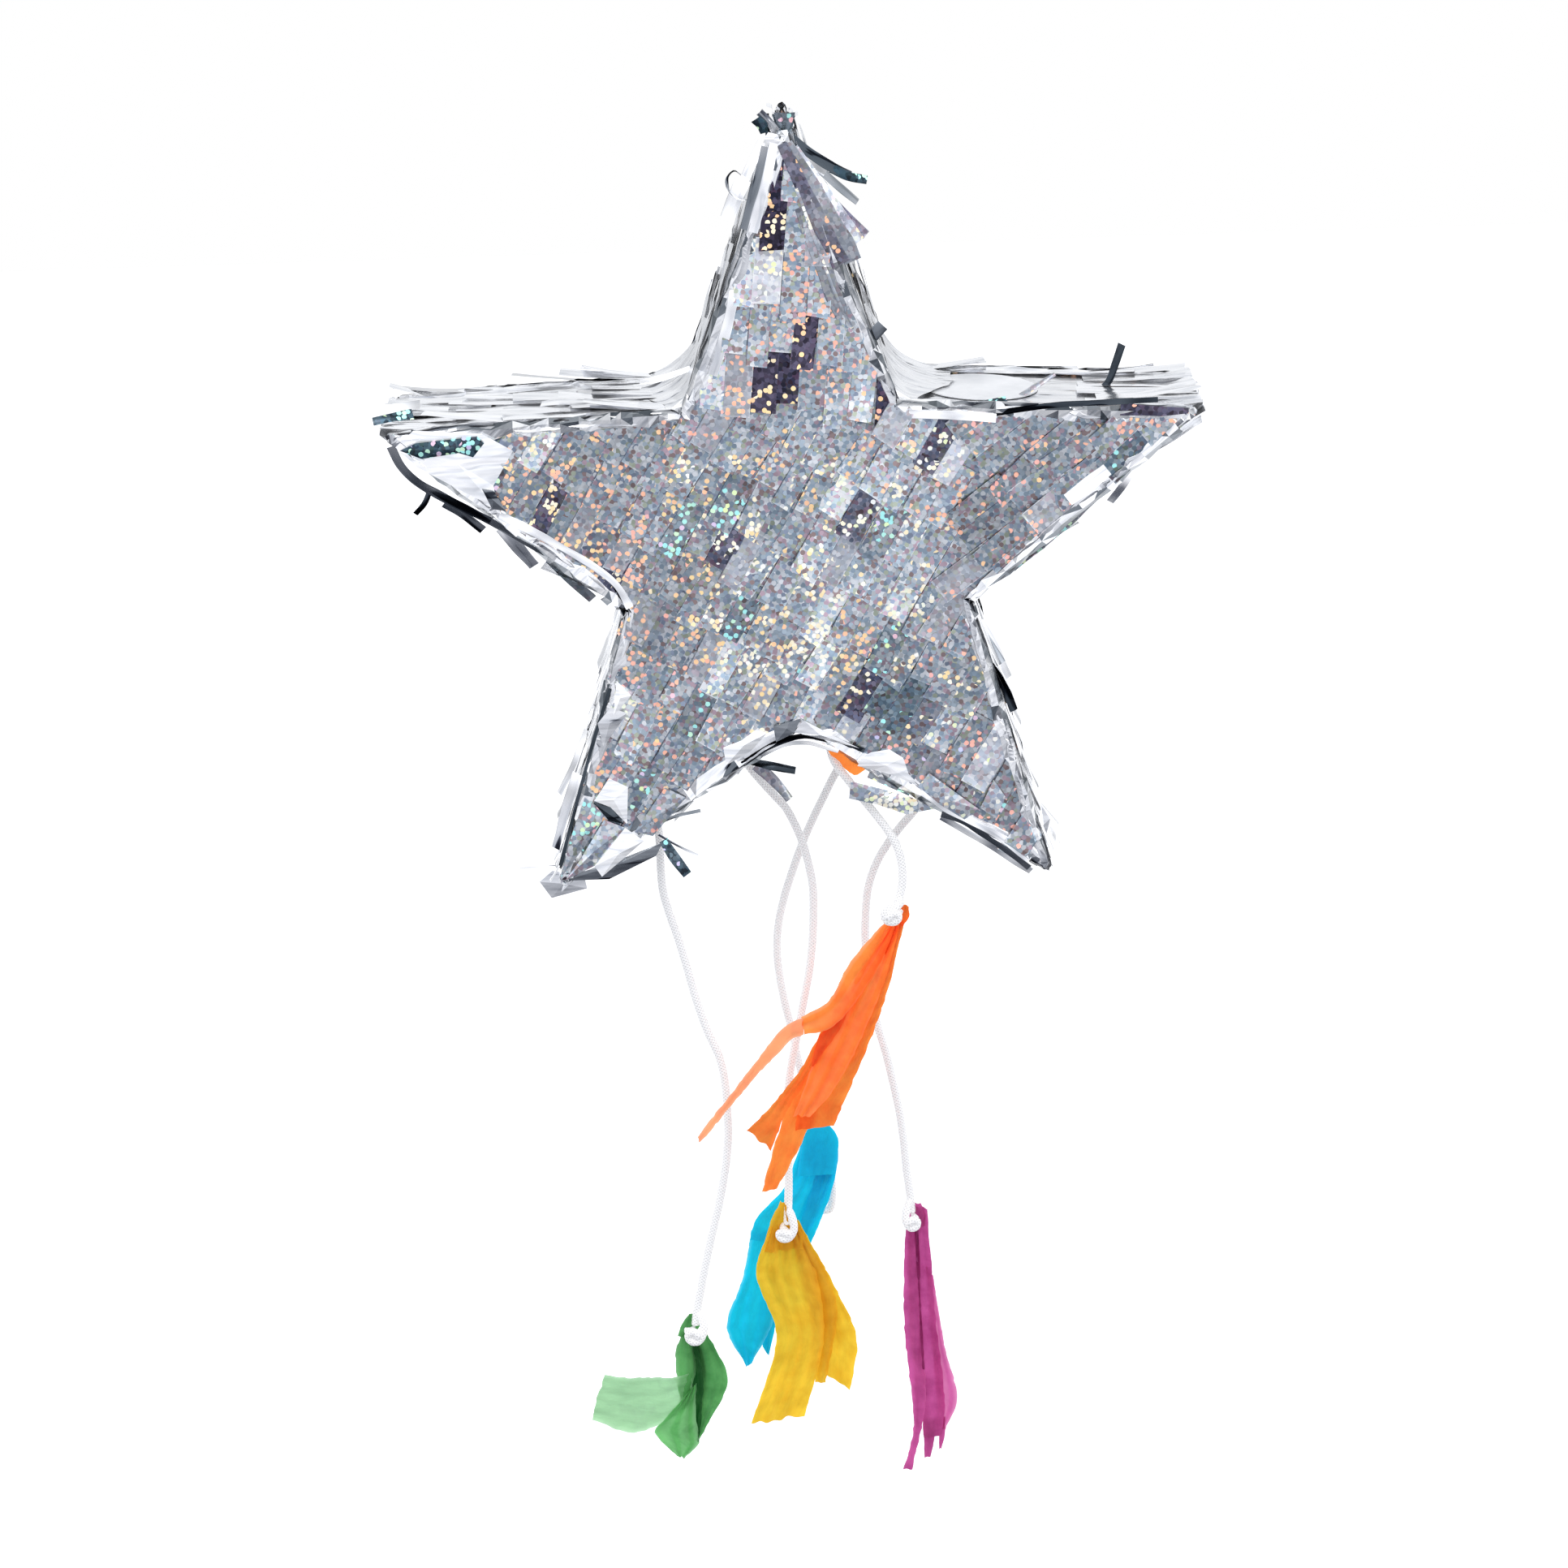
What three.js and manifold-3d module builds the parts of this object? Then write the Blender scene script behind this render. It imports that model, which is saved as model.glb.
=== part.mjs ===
// A pull-string star pinata: a card star wrapped in foil, with a trapdoor flap in its underside,
// and five cords that each end in a tissue tassel. One of the cords pulls the trapdoor.
// Millimetres, +Z up, front face towards -Y. The origin is the tip that the star hangs from.
import * as THREE from "three";
import { mergeVertices } from "three/addons/utils/BufferGeometryUtils.js";
import Module from "manifold-3d";

const wasm = await Module();
wasm.setup();

// Star body
const TIP_RADIUS = 180;
const NOTCH_RADIUS = 77;
const DEPTH = 76;
const CENTRE_Z = -TIP_RADIUS;
const CARD = 2;
const FOIL = 1;
const GAP = 0.3;
const FACE = DEPTH / 2;
const WALL_HALF = FACE - FOIL - CARD - 2 * GAP;
const WALL_FOIL_HALF = FACE - FOIL - GAP;
const CARD_INSET = FOIL + GAP;

// Trapdoor in the inner wall of the right leg. Distances run along the wall from the bottom notch.
const DOOR_START = 9;
const DOOR_END = 64;
const DOOR_FRONT = -31;
const DOOR_BACK = 3;
const FOLD_STRIP = 2.5;

// Cords, knots and tassels
const CORD_RADIUS = 1.9;
const CORD_SIDES = 8;
const CORD_STEP = 8;
const CORD_HOLE_RADIUS = 3.2;
const PULL_HOLE_RADIUS = 2.3;
const PULL_CORD_AT = 17;
const STOP_KNOT_RADIUS = 4.5;
const STOP_KNOT_DEPTH = 8.65;
const RING_RADIUS = 4.5;
const NECK_HALF = 1.5;
const TASSEL_HALF = 5.5;
const PINCH_LENGTH = 32;

const STICKER_RADIUS = 25;
const STICKER_AT = 37;
const STICKER = 0.4;

const COLOURS = {
  card: ["#a98b62", 0.9, 0],
  holographic: ["#b9bcc6", 0.3, 0.85],
  mirror: ["#d3d6db", 0.15, 0.95],
  cord: ["#f4f3f0", 0.7, 0],
  sticker: ["#e9eaec", 0.5, 0],
  orange: ["#ff7a35", 0.85, 0],
  green: ["#3fa84c", 0.85, 0],
  yellow: ["#f7c622", 0.85, 0],
  cyan: ["#0fb5dc", 0.85, 0],
  magenta: ["#b8458f", 0.85, 0],
};

const pinata = new THREE.Group();
pinata.name = "pinata";

function add(name, geometry, look) {
  const [color, roughness, metalness] = COLOURS[look];
  const material = new THREE.MeshStandardMaterial({ color, roughness, metalness });
  const mesh = new THREE.Mesh(geometry, material);
  mesh.name = name;
  pinata.add(mesh);
}

function toManifold(geometry) {
  const bare = geometry.clone();
  bare.deleteAttribute("normal");
  bare.deleteAttribute("uv");
  const merged = mergeVertices(bare, 1e-4);
  const vertProperties = new Float32Array(merged.attributes.position.array);
  const triVerts = new Uint32Array(merged.index.array);
  return new wasm.Manifold(new wasm.Mesh({ numProp: 3, vertProperties, triVerts }));
}

function toGeometry(manifold) {
  const mesh = manifold.getMesh();
  const geometry = new THREE.BufferGeometry();
  geometry.setAttribute("position", new THREE.BufferAttribute(mesh.vertProperties, 3));
  geometry.setIndex(new THREE.BufferAttribute(mesh.triVerts, 1));
  geometry.computeVertexNormals();
  return geometry;
}

function cut(geometry, cutters) {
  return toGeometry(cutters.reduce((body, c) => body.subtract(toManifold(c)), toManifold(geometry)));
}

// A flat plate: an outline in X and Z, filled from y0 back to y1.
function plate(outline, y0, y1) {
  const shape = new THREE.Shape(outline);
  const geometry = new THREE.ExtrudeGeometry(shape, { depth: y1 - y0, bevelEnabled: false });
  geometry.rotateX(Math.PI / 2);
  geometry.translate(0, y1, 0);
  return geometry;
}

const radians = THREE.MathUtils.degToRad;
const notchOffset = NOTCH_RADIUS * Math.cos(radians(36));
const tipHalfAngle = Math.atan2(NOTCH_RADIUS * Math.sin(radians(36)), TIP_RADIUS - notchOffset);
const notchHalfAngle = tipHalfAngle + radians(36);

// The ten corners of the star, clockwise from the top tip, moved in from the outermost outline.
function corner(i, inset) {
  const isTip = i % 2 === 0;
  const angle = radians(90 - 36 * i);
  const halfAngle = isTip ? tipHalfAngle : notchHalfAngle;
  const radius = (isTip ? TIP_RADIUS : NOTCH_RADIUS) - inset / Math.sin(halfAngle);
  return new THREE.Vector2(radius * Math.cos(angle), CENTRE_Z + radius * Math.sin(angle));
}

function starOutline(inset) {
  return Array.from({ length: 10 }, (_, i) => corner(i, inset));
}

// The mitred outline of one side wall between two insets, clear of the walls next to it.
function wallOutline(i, outer, inner) {
  const along = corner(i + 1, 0).sub(corner(i, 0)).normalize();
  const trimTip = GAP / 2 / Math.sin(tipHalfAngle);
  const trimNotch = GAP / 2 / Math.sin(notchHalfAngle);
  const startTrim = i % 2 === 0 ? trimTip : trimNotch;
  const endTrim = i % 2 === 0 ? trimNotch : trimTip;
  return [
    corner(i, outer).addScaledVector(along, startTrim),
    corner(i + 1, outer).addScaledVector(along, -endTrim),
    corner(i + 1, inner).addScaledVector(along, -endTrim),
    corner(i, inner).addScaledVector(along, startTrim),
  ];
}

// A point on a wall: its distance from the wall's notch, and its depth in from the outermost surface.
function onWall(wall, distance, depth) {
  const notch = corner(wall % 2 === 0 ? wall + 1 : wall, 0);
  const tip = corner(wall % 2 === 0 ? wall : wall + 1, 0);
  const along = tip.clone().sub(notch).normalize();
  const inward = inwardOf(wall);
  return notch.addScaledVector(along, distance).addScaledVector(inward, depth);
}

function inwardOf(wall) {
  const edge = corner(wall + 1, 0).sub(corner(wall, 0)).normalize();
  return new THREE.Vector2(edge.y, -edge.x);
}

// Turns a geometry made along +Y so that it points into the wall, and puts it there.
function placeOnWall(geometry, wall, distance, depth, y) {
  const inward = inwardOf(wall);
  const direction = new THREE.Vector3(inward.x, 0, inward.y);
  const turn = new THREE.Quaternion().setFromUnitVectors(new THREE.Vector3(0, 1, 0), direction);
  const at = onWall(wall, distance, depth);
  geometry.applyQuaternion(turn);
  geometry.translate(at.x, y, at.y);
  return geometry;
}

function hole(wall, distance, y, radius) {
  return placeOnWall(new THREE.CylinderGeometry(radius, radius, 12, 20), wall, distance, 0, y);
}

const RIGHT_INNER = 4;
const LEFT_INNER = 5;
const RIGHT_UPPER = 1;
const WALLS = [
  "top_right",
  "right_upper",
  "right_lower",
  "leg_right_outer",
  "leg_right_inner",
  "leg_left_inner",
  "leg_left_outer",
  "left_lower",
  "left_upper",
  "top_left",
];

// Where each cord leaves the star: the wall, the distance from its notch, and the depth position.
// Its route below the star is a list of X, Z, from there to the knot, and y runs evenly to its end.
const CORDS = {
  green: {
    wall: LEFT_INNER,
    at: 81.5,
    y: [-14, -16.5],
    knot: [-57, -550],
    neck: [-0.1, -1],
    route: [
      [-64.5, -310], [-64, -318], [-64, -328], [-63.5, -339], [-61, -350], [-57.5, -362],
      [-54, -376], [-50.5, -391], [-46, -406], [-41, -419], [-39, -431], [-38.5, -444],
      [-38.5, -456], [-40, -470], [-43.5, -488], [-47.5, -504], [-51, -519], [-54, -533],
    ],
    outline: [
      [-51, -556], [-43, -575], [-47, -592], [-58, -607], [-64, -613], [-70, -608], [-76, -596],
      [-88, -600], [-106, -592], [-99, -572], [-82, -573], [-67, -578], [-64, -560],
    ],
  },
  yellow: {
    wall: LEFT_INNER,
    at: 37.5,
    y: [8, -2],
    knot: [-13.5, -508],
    neck: [-0.1, -1],
    route: [
      [-22, -292], [-18, -297], [-13, -303], [-8, -309], [-4, -317], [-1, -325], [1, -333],
      [3, -345], [3, -358], [2, -373], [0, -387], [-3, -401], [-6, -415], [-9, -429],
      [-11, -442], [-12, -455], [-12, -470], [-12, -484], [-12.5, -496],
    ],
    outline: [
      [-6, -515], [4, -535], [13, -563], [16, -576], [14, -584], [-3, -583], [-9, -601],
      [-33, -603], [-22, -550], [-27, -526], [-20, -514],
    ],
  },
  cyan: {
    wall: RIGHT_INNER,
    at: 35.5,
    y: [25, 27],
    knot: [5, -480],
    neck: [0, -1],
    route: [
      [17, -296], [13, -303], [9, -311], [5, -319], [0, -330], [-5, -343], [-10, -358],
      [-13, -371], [-14, -384], [-13, -397], [-11, -410], [-8, -424], [-6, -437], [-3, -450],
      [1, -461], [4, -470],
    ],
    outline: [
      [9, -488], [8, -500], [-2, -527], [-20, -560], [-28, -576], [-35, -588], [-43, -570],
      [-31, -524], [-15, -502], [-3, -487],
    ],
  },
  magenta: {
    wall: RIGHT_INNER,
    at: 73,
    y: [13, 12.5],
    knot: [44, -510],
    neck: [0, -1],
    route: [
      [49, -315], [43, -322], [37, -330], [32, -338.5], [28, -350], [26.5, -362], [26, -377],
      [27, -395], [30, -414], [34, -430], [37, -445], [39.5, -459], [41, -473], [42, -487],
      [43.3, -499],
    ],
    outline: [
      [50, -516], [52, -535], [56, -559], [63, -604], [56, -619], [47, -633], [38, -636],
      [42, -620], [39, -546], [40.5, -520],
    ],
  },
  orange: {
    wall: RIGHT_INNER,
    at: PULL_CORD_AT,
    y: [-24, -30.5],
    knot: [38.5, -348],
    neck: [-0.35, -0.94],
    route: [
      [12.5, -272], [13.5, -277], [16, -281.5], [20, -287], [25, -294], [31, -302],
      [36, -309], [40, -316], [42.3, -325], [42.3, -335],
    ],
    outline: [
      [42, -357], [37, -380], [31, -399], [20, -424], [9, -447], [-5, -450], [-17, -479],
      [-24, -477], [-19, -458], [-29, -448], [-15, -432], [1, -405], [-8, -403], [-23, -423],
      [-49, -451], [-51, -449], [-26, -418], [-9, -396], [9, -388], [22, -368], [31, -356],
    ],
  },
};
const PULL = "orange";

// Card walls. The right leg's inner wall holds the trapdoor, and four cords pass through holes.
const cordHoles = Object.entries(CORDS)
  .filter(([name]) => name !== PULL)
  .map(([, c]) => ({ wall: c.wall, geometry: hole(c.wall, c.at, c.y[0], CORD_HOLE_RADIUS) }));

function doorBlock(start, end, margin) {
  const outline = [
    onWall(RIGHT_INNER, start, -2),
    onWall(RIGHT_INNER, end, -2),
    onWall(RIGHT_INNER, end, 6),
    onWall(RIGHT_INNER, start, 6),
  ];
  return plate(outline, DOOR_FRONT - margin, DOOR_BACK + margin);
}

WALLS.forEach((name, i) => {
  const card = plate(wallOutline(i, CARD_INSET, CARD_INSET + CARD), -WALL_HALF, WALL_HALF);
  const foil = plate(wallOutline(i, 0, FOIL), -WALL_FOIL_HALF, WALL_FOIL_HALF);
  const holes = cordHoles.filter((h) => h.wall === i).map((h) => h.geometry);
  const isDoorWall = i === RIGHT_INNER;
  const cardCuts = isDoorWall ? [...holes, doorBlock(DOOR_START - GAP, DOOR_END + GAP, GAP)] : holes;
  const foilEnd = DOOR_END + GAP + FOLD_STRIP;
  const foilCuts = isDoorWall ? [...holes, doorBlock(DOOR_START - GAP, foilEnd, GAP)] : holes;
  add("wall_" + name, cut(card, cardCuts), "card");
  add("foil_" + name, cut(foil, foilCuts), "mirror");
});

// Front and back: a card star each, with foil over it.
add("front_panel", plate(starOutline(CARD_INSET), -FACE + FOIL + GAP, -FACE + FOIL + GAP + CARD), "card");
add("back_panel", plate(starOutline(CARD_INSET), FACE - FOIL - GAP - CARD, FACE - FOIL - GAP), "card");
add("foil_front", plate(starOutline(0), -FACE, -FACE + FOIL), "holographic");
add("foil_back", plate(starOutline(0), FACE - FOIL, FACE), "holographic");

// Trapdoor: a card flap, its foil, and a sliver of tissue that hangs from its front edge.
function doorPlate(start, end, outer, inner) {
  const outline = [
    onWall(RIGHT_INNER, start, outer),
    onWall(RIGHT_INNER, end, outer),
    onWall(RIGHT_INNER, end, inner),
    onWall(RIGHT_INNER, start, inner),
  ];
  return plate(outline, DOOR_FRONT, DOOR_BACK);
}

const pullHole = hole(RIGHT_INNER, PULL_CORD_AT, CORDS[PULL].y[0], PULL_HOLE_RADIUS);
const doorCard = doorPlate(DOOR_START, DOOR_END, CARD_INSET, CARD_INSET + CARD);
const doorFoil = doorPlate(DOOR_START, DOOR_END - GAP, 0, FOIL);
add("trapdoor", cut(doorCard, [pullHole]), "card");
add("foil_trapdoor", cut(doorFoil, [pullHole]), "mirror");

const sliver = [
  onWall(RIGHT_INNER, 10, -0.4),
  onWall(RIGHT_INNER, 36, -0.4),
  onWall(RIGHT_INNER, 35, -7),
  onWall(RIGHT_INNER, 22, -5),
];
add("trapdoor_tissue", plate(sliver, DOOR_FRONT + 0.5, DOOR_FRONT + 1), "orange");

// The round sticker on top of the right arm.
const disc = new THREE.CylinderGeometry(STICKER_RADIUS, STICKER_RADIUS, STICKER, 40);
add("sticker", placeOnWall(disc, RIGHT_UPPER, STICKER_AT, -GAP - STICKER / 2, 2), "sticker");

// Two curled foil ends that stand up at the top tip.
const leftTuft = [[-3, 0.5], [-11.5, 8.5], [-8.5, 11], [-1.5, 1.5]];
const rightTuft = [[-1, 1.8], [-2.5, 9.5], [5, 12], [0.6, 1.5]];
const toOutline = (points) => points.map(([x, z]) => new THREE.Vector2(x, z));
add("tuft_left", plate(toOutline(leftTuft), -30, -29.2), "mirror");
add("tuft_right", plate(toOutline(rightTuft), -28, -27.2), "holographic");

// Cords. Each starts just inside the wall and leaves it square.
function cordGeometry(cord, isPull) {
  const points = isPull
    ? [onWall(cord.wall, cord.at, -2.3)]
    : [3.85, 1.65, -1.5, -4].map((depth) => onWall(cord.wall, cord.at, depth));
  const neck = new THREE.Vector2(...cord.neck).normalize();
  const knot = new THREE.Vector2(...cord.knot);
  const belowWall = points.length;
  points.push(...toOutline(cord.route));
  points.push(knot.clone().addScaledVector(neck, -2.5));
  const steps = points.length - belowWall;
  const [y0, y1] = cord.y;
  const yAt = (i) => y0 + ((y1 - y0) * Math.max(0, i - belowWall + 1)) / steps;
  const route = points.map((p, i) => new THREE.Vector3(p.x, yAt(i), p.y));
  const curve = new THREE.CatmullRomCurve3(route);
  const section = new THREE.Shape(
    Array.from({ length: CORD_SIDES }, (_, i) => {
      const angle = (2 * Math.PI * i) / CORD_SIDES;
      return new THREE.Vector2(CORD_RADIUS * Math.cos(angle), CORD_RADIUS * Math.sin(angle));
    }),
  );
  const count = Math.round(curve.getLength() / CORD_STEP);
  return new THREE.ExtrudeGeometry(section, { extrudePath: curve, steps: count, bevelEnabled: false });
}

// A stop knot inside the wall. The pull cord's has a stem that fills the trapdoor's hole.
function stopKnot(stemLength) {
  const centre = stemLength ? STOP_KNOT_DEPTH : 0;
  const profile = [];
  if (stemLength) profile.push(new THREE.Vector2(0, 0), new THREE.Vector2(CORD_RADIUS, 0));
  const first = stemLength ? -60 : -90;
  for (let angle = first; angle <= 90; angle += 30) {
    const r = STOP_KNOT_RADIUS * Math.cos(radians(angle));
    profile.push(new THREE.Vector2(Math.max(0, r), centre + STOP_KNOT_RADIUS * Math.sin(radians(angle))));
  }
  return new THREE.LatheGeometry(profile, 12);
}

// The ring of cord tied round a tassel's neck.
function knotRing(cord) {
  const neck = new THREE.Vector3(cord.neck[0], 0, cord.neck[1]).normalize();
  const ring = new THREE.TorusGeometry(RING_RADIUS, CORD_RADIUS, 8, 16);
  ring.applyQuaternion(new THREE.Quaternion().setFromUnitVectors(new THREE.Vector3(0, 0, 1), neck));
  ring.translate(cord.knot[0], cord.y[1], cord.knot[1]);
  return ring;
}

// A tassel: its outline, filled from front to back, and pinched flat towards the knot.
function tassel(cord) {
  const neck = new THREE.Vector2(...cord.neck).normalize();
  const side = new THREE.Vector2(-neck.y, neck.x);
  const knot = new THREE.Vector2(...cord.knot);
  const neckPoint = (down, across) => knot.clone().addScaledVector(neck, down).addScaledVector(side, across);
  const outline = [
    neckPoint(-1.6, NECK_HALF),
    neckPoint(3, NECK_HALF),
    ...toOutline(cord.outline),
    neckPoint(3, -NECK_HALF),
    neckPoint(-1.6, -NECK_HALF),
  ];
  const geometry = plate(outline, -TASSEL_HALF, TASSEL_HALF);
  const position = geometry.attributes.position;
  for (let i = 0; i < position.count; i++) {
    const away = Math.hypot(position.getX(i) - knot.x, position.getZ(i) - knot.y);
    const spread = THREE.MathUtils.smoothstep(away, 4, PINCH_LENGTH);
    const half = NECK_HALF + (TASSEL_HALF - NECK_HALF) * spread;
    position.setY(i, cord.y[1] + Math.sign(position.getY(i)) * half);
  }
  return geometry;
}

for (const [name, cord] of Object.entries(CORDS)) {
  const isPull = name === PULL;
  const knotDepth = isPull ? 0 : STOP_KNOT_DEPTH;
  const knot = placeOnWall(stopKnot(isPull), cord.wall, cord.at, knotDepth, cord.y[0]);
  add("cord_" + name, cordGeometry(cord, isPull), "cord");
  add("stop_knot_" + name, knot, "cord");
  add("outer_knot_" + name, knotRing(cord), "cord");
  add("tassel_" + name, tassel(cord), name);
}

export default pinata;
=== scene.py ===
"""Looks of the star pull pinata: dotted foil fringe, crumpled mirror rims, braided cords and tissue tassels.

Shapes are worked out in millimetres in the part's frame and made in metres. The front faces -Y.
"""

import math

import bpy
import numpy as np
from mathutils import Matrix, Vector


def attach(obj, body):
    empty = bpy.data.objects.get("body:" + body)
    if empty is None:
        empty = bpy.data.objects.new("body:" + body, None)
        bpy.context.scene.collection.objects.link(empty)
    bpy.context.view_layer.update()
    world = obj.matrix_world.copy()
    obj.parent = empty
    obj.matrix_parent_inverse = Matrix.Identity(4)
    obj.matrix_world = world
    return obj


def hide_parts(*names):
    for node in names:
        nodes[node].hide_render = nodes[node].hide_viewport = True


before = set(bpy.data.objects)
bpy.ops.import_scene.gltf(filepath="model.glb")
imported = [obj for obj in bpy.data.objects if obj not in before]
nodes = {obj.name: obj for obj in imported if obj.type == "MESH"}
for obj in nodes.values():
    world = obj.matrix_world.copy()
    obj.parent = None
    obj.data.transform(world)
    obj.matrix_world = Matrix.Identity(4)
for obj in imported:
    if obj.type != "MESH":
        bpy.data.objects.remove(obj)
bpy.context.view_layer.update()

MM = 0.001
rng = np.random.default_rng(11)
FAR = 200  # further than any point of the star is from its centre

# Star body, in millimetres, as in part.mjs.
TIP_RADIUS = 180.0
NOTCH_RADIUS = 77.0
CENTRE_Z = -180.0
FACE = 38.0
CORNER_STEP = 36  # degrees from a tip to the next notch
STEP = math.radians(CORNER_STEP)
TIP_HALF_ANGLE = math.atan2(NOTCH_RADIUS * math.sin(STEP), TIP_RADIUS - NOTCH_RADIUS * math.cos(STEP))
NOTCH_HALF_ANGLE = TIP_HALF_ANGLE + STEP
EDGE_LENGTH = NOTCH_RADIUS * math.sin(STEP) / math.sin(TIP_HALF_ANGLE)

# Trapdoor window, in distances along its wall from the notch and across the depth.
DOOR_START = 9.0
DOOR_FRONT, DOOR_BACK = -31.0, 3.0
WINDOW_END = 66.8

CORD_RADIUS = 1.9
WALLS = [
    "top_right",
    "right_upper",
    "right_lower",
    "leg_right_outer",
    "leg_right_inner",
    "leg_left_inner",
    "leg_left_outer",
    "left_lower",
    "left_upper",
    "top_left",
]
DOOR_WALL = WALLS.index("leg_right_inner")
LEFT_INNER = WALLS.index("leg_left_inner")


# ---------------------------------------------------------------- camera
CAMERA_TURN = (17.44, 0.202, -1.845)  # elevation, azimuth and roll in degrees
CAMERA_PLACE = (-0.0009, -2.0989, 0.3633)
CAMERA_LENS = 113.87
SENSOR_WIDTH = 36


def make_camera():
    elevation, azimuth, roll = map(math.radians, CAMERA_TURN)
    level = math.cos(elevation)
    back = Vector((math.sin(azimuth) * level, -math.cos(azimuth) * level, math.sin(elevation)))
    right = Vector((0, 0, 1)).cross(back).normalized()
    up = back.cross(right)
    turned_right = math.cos(roll) * right + math.sin(roll) * up
    turned_up = -math.sin(roll) * right + math.cos(roll) * up
    data = bpy.data.cameras.new("camera")
    data.lens = CAMERA_LENS
    data.sensor_width = SENSOR_WIDTH
    data.clip_end = 50
    camera = bpy.data.objects.new("camera", data)
    turn = Matrix((turned_right, turned_up, back)).transposed()
    camera.matrix_world = Matrix.Translation(CAMERA_PLACE) @ turn.to_4x4()
    bpy.context.scene.collection.objects.link(camera)
    bpy.context.scene.camera = camera


make_camera()


# ---------------------------------------------------------------- star geometry
def corner(i, inset=0.0):
    angle = math.radians(90 - CORNER_STEP * i)
    if i % 2 == 0:
        radius = TIP_RADIUS - inset / math.sin(TIP_HALF_ANGLE)
    else:
        radius = NOTCH_RADIUS - inset / math.sin(NOTCH_HALF_ANGLE)
    return np.array([radius * math.cos(angle), CENTRE_Z + radius * math.sin(angle)])


CORNERS = np.array([corner(i) for i in range(10)])
EDGES = np.roll(CORNERS, -1, 0) - CORNERS
EDGE_ALONG = EDGES / np.linalg.norm(EDGES, axis=1)[:, None]
EDGE_OUT = np.stack([-EDGE_ALONG[:, 1], EDGE_ALONG[:, 0]], 1)


def wall_along(wall):
    """The direction along a wall from its notch to its tip."""
    return -EDGE_ALONG[wall] if wall % 2 == 0 else EDGE_ALONG[wall]


def on_wall(wall, distance, depth):
    """X and Z of points on a wall: distance from its notch, and depth in from the outermost surface."""
    notch = CORNERS[(wall + 1) % 10] if wall % 2 == 0 else CORNERS[wall]
    distance, depth = np.broadcast_arrays(np.asarray(distance, float), np.asarray(depth, float))
    return notch + distance[..., None] * wall_along(wall) - depth[..., None] * EDGE_OUT[wall]


def star_distance(p):
    """Signed distance of points (X, Z) to the star's outline, the nearest point and the outward normal."""
    p = np.atleast_2d(p)
    rel = p[:, None] - CORNERS[None]
    t = np.clip((rel * EDGE_ALONG[None]).sum(2), 0, EDGE_LENGTH)
    near = CORNERS[None] + t[..., None] * EDGE_ALONG[None]
    gap = np.linalg.norm(p[:, None] - near, axis=2)
    best = gap.argmin(1)
    rows = np.arange(len(p))
    q, dist = near[rows, best], gap[rows, best]
    ahead = np.roll(CORNERS, -1, 0)
    x, z = p[:, None, 0], p[:, None, 1]
    straddles = (CORNERS[None, :, 1] > z) != (ahead[None, :, 1] > z)
    rise = ahead[:, 1] - CORNERS[:, 1]
    rise = np.where(np.abs(rise) < 1e-9, 1e-9, rise)
    cross_x = CORNERS[None, :, 0] + (z - CORNERS[None, :, 1]) / rise * (ahead - CORNERS)[None, :, 0]
    inside = ((straddles & (x < cross_x)).sum(1) % 2) == 1
    sign = np.where(inside, -1.0, 1.0)
    away = (p - q) * sign[:, None]
    size = np.linalg.norm(away, axis=1)
    normal = np.where(size[:, None] > 1e-3, away / np.maximum(size, 1e-3)[:, None], EDGE_OUT[best])
    return dist * sign, q, normal


EDGE_ROUND = 1.5  # radius of the bend from a face onto a wall


def wrap(p, height, side):
    """Lays points (X, Z) on the front (side -1) or back (side 1), and over its edge onto the wall."""
    distance, q, normal = star_distance(p)
    turn = np.clip((distance + EDGE_ROUND) / EDGE_ROUND, 0, math.pi / 2)
    run = np.maximum(0, distance + EDGE_ROUND - EDGE_ROUND * math.pi / 2)
    over = q - normal * EDGE_ROUND + normal * ((EDGE_ROUND + height) * np.sin(turn))[:, None]
    xz = np.where((turn > 0)[:, None], over, p)
    y = side * (FACE - EDGE_ROUND + (EDGE_ROUND + height) * np.cos(turn) - run)
    return np.stack([xz[:, 0], y, xz[:, 1]], 1)


# ---------------------------------------------------------------- noise
NOISE_CELLS = 64


class Noise:
    """Smooth noise in two dimensions from a seeded table of values."""

    def __init__(self, seed):
        self.table = np.random.default_rng(seed).uniform(-1, 1, (NOISE_CELLS, NOISE_CELLS))

    def __call__(self, x, y):
        x, y = np.broadcast_arrays(np.asarray(x, float), np.asarray(y, float))
        i, j = np.floor(x).astype(int), np.floor(y).astype(int)
        u, v = x - i, y - j
        u, v = u * u * (3 - 2 * u), v * v * (3 - 2 * v)
        at = self.table
        i, j, after_i, after_j = (k % NOISE_CELLS for k in (i, j, i + 1, j + 1))
        low = at[i, j] * (1 - u) + at[after_i, j] * u
        high = at[i, after_j] * (1 - u) + at[after_i, after_j] * u
        return low * (1 - v) + high * v


noise = Noise(3)


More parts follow.
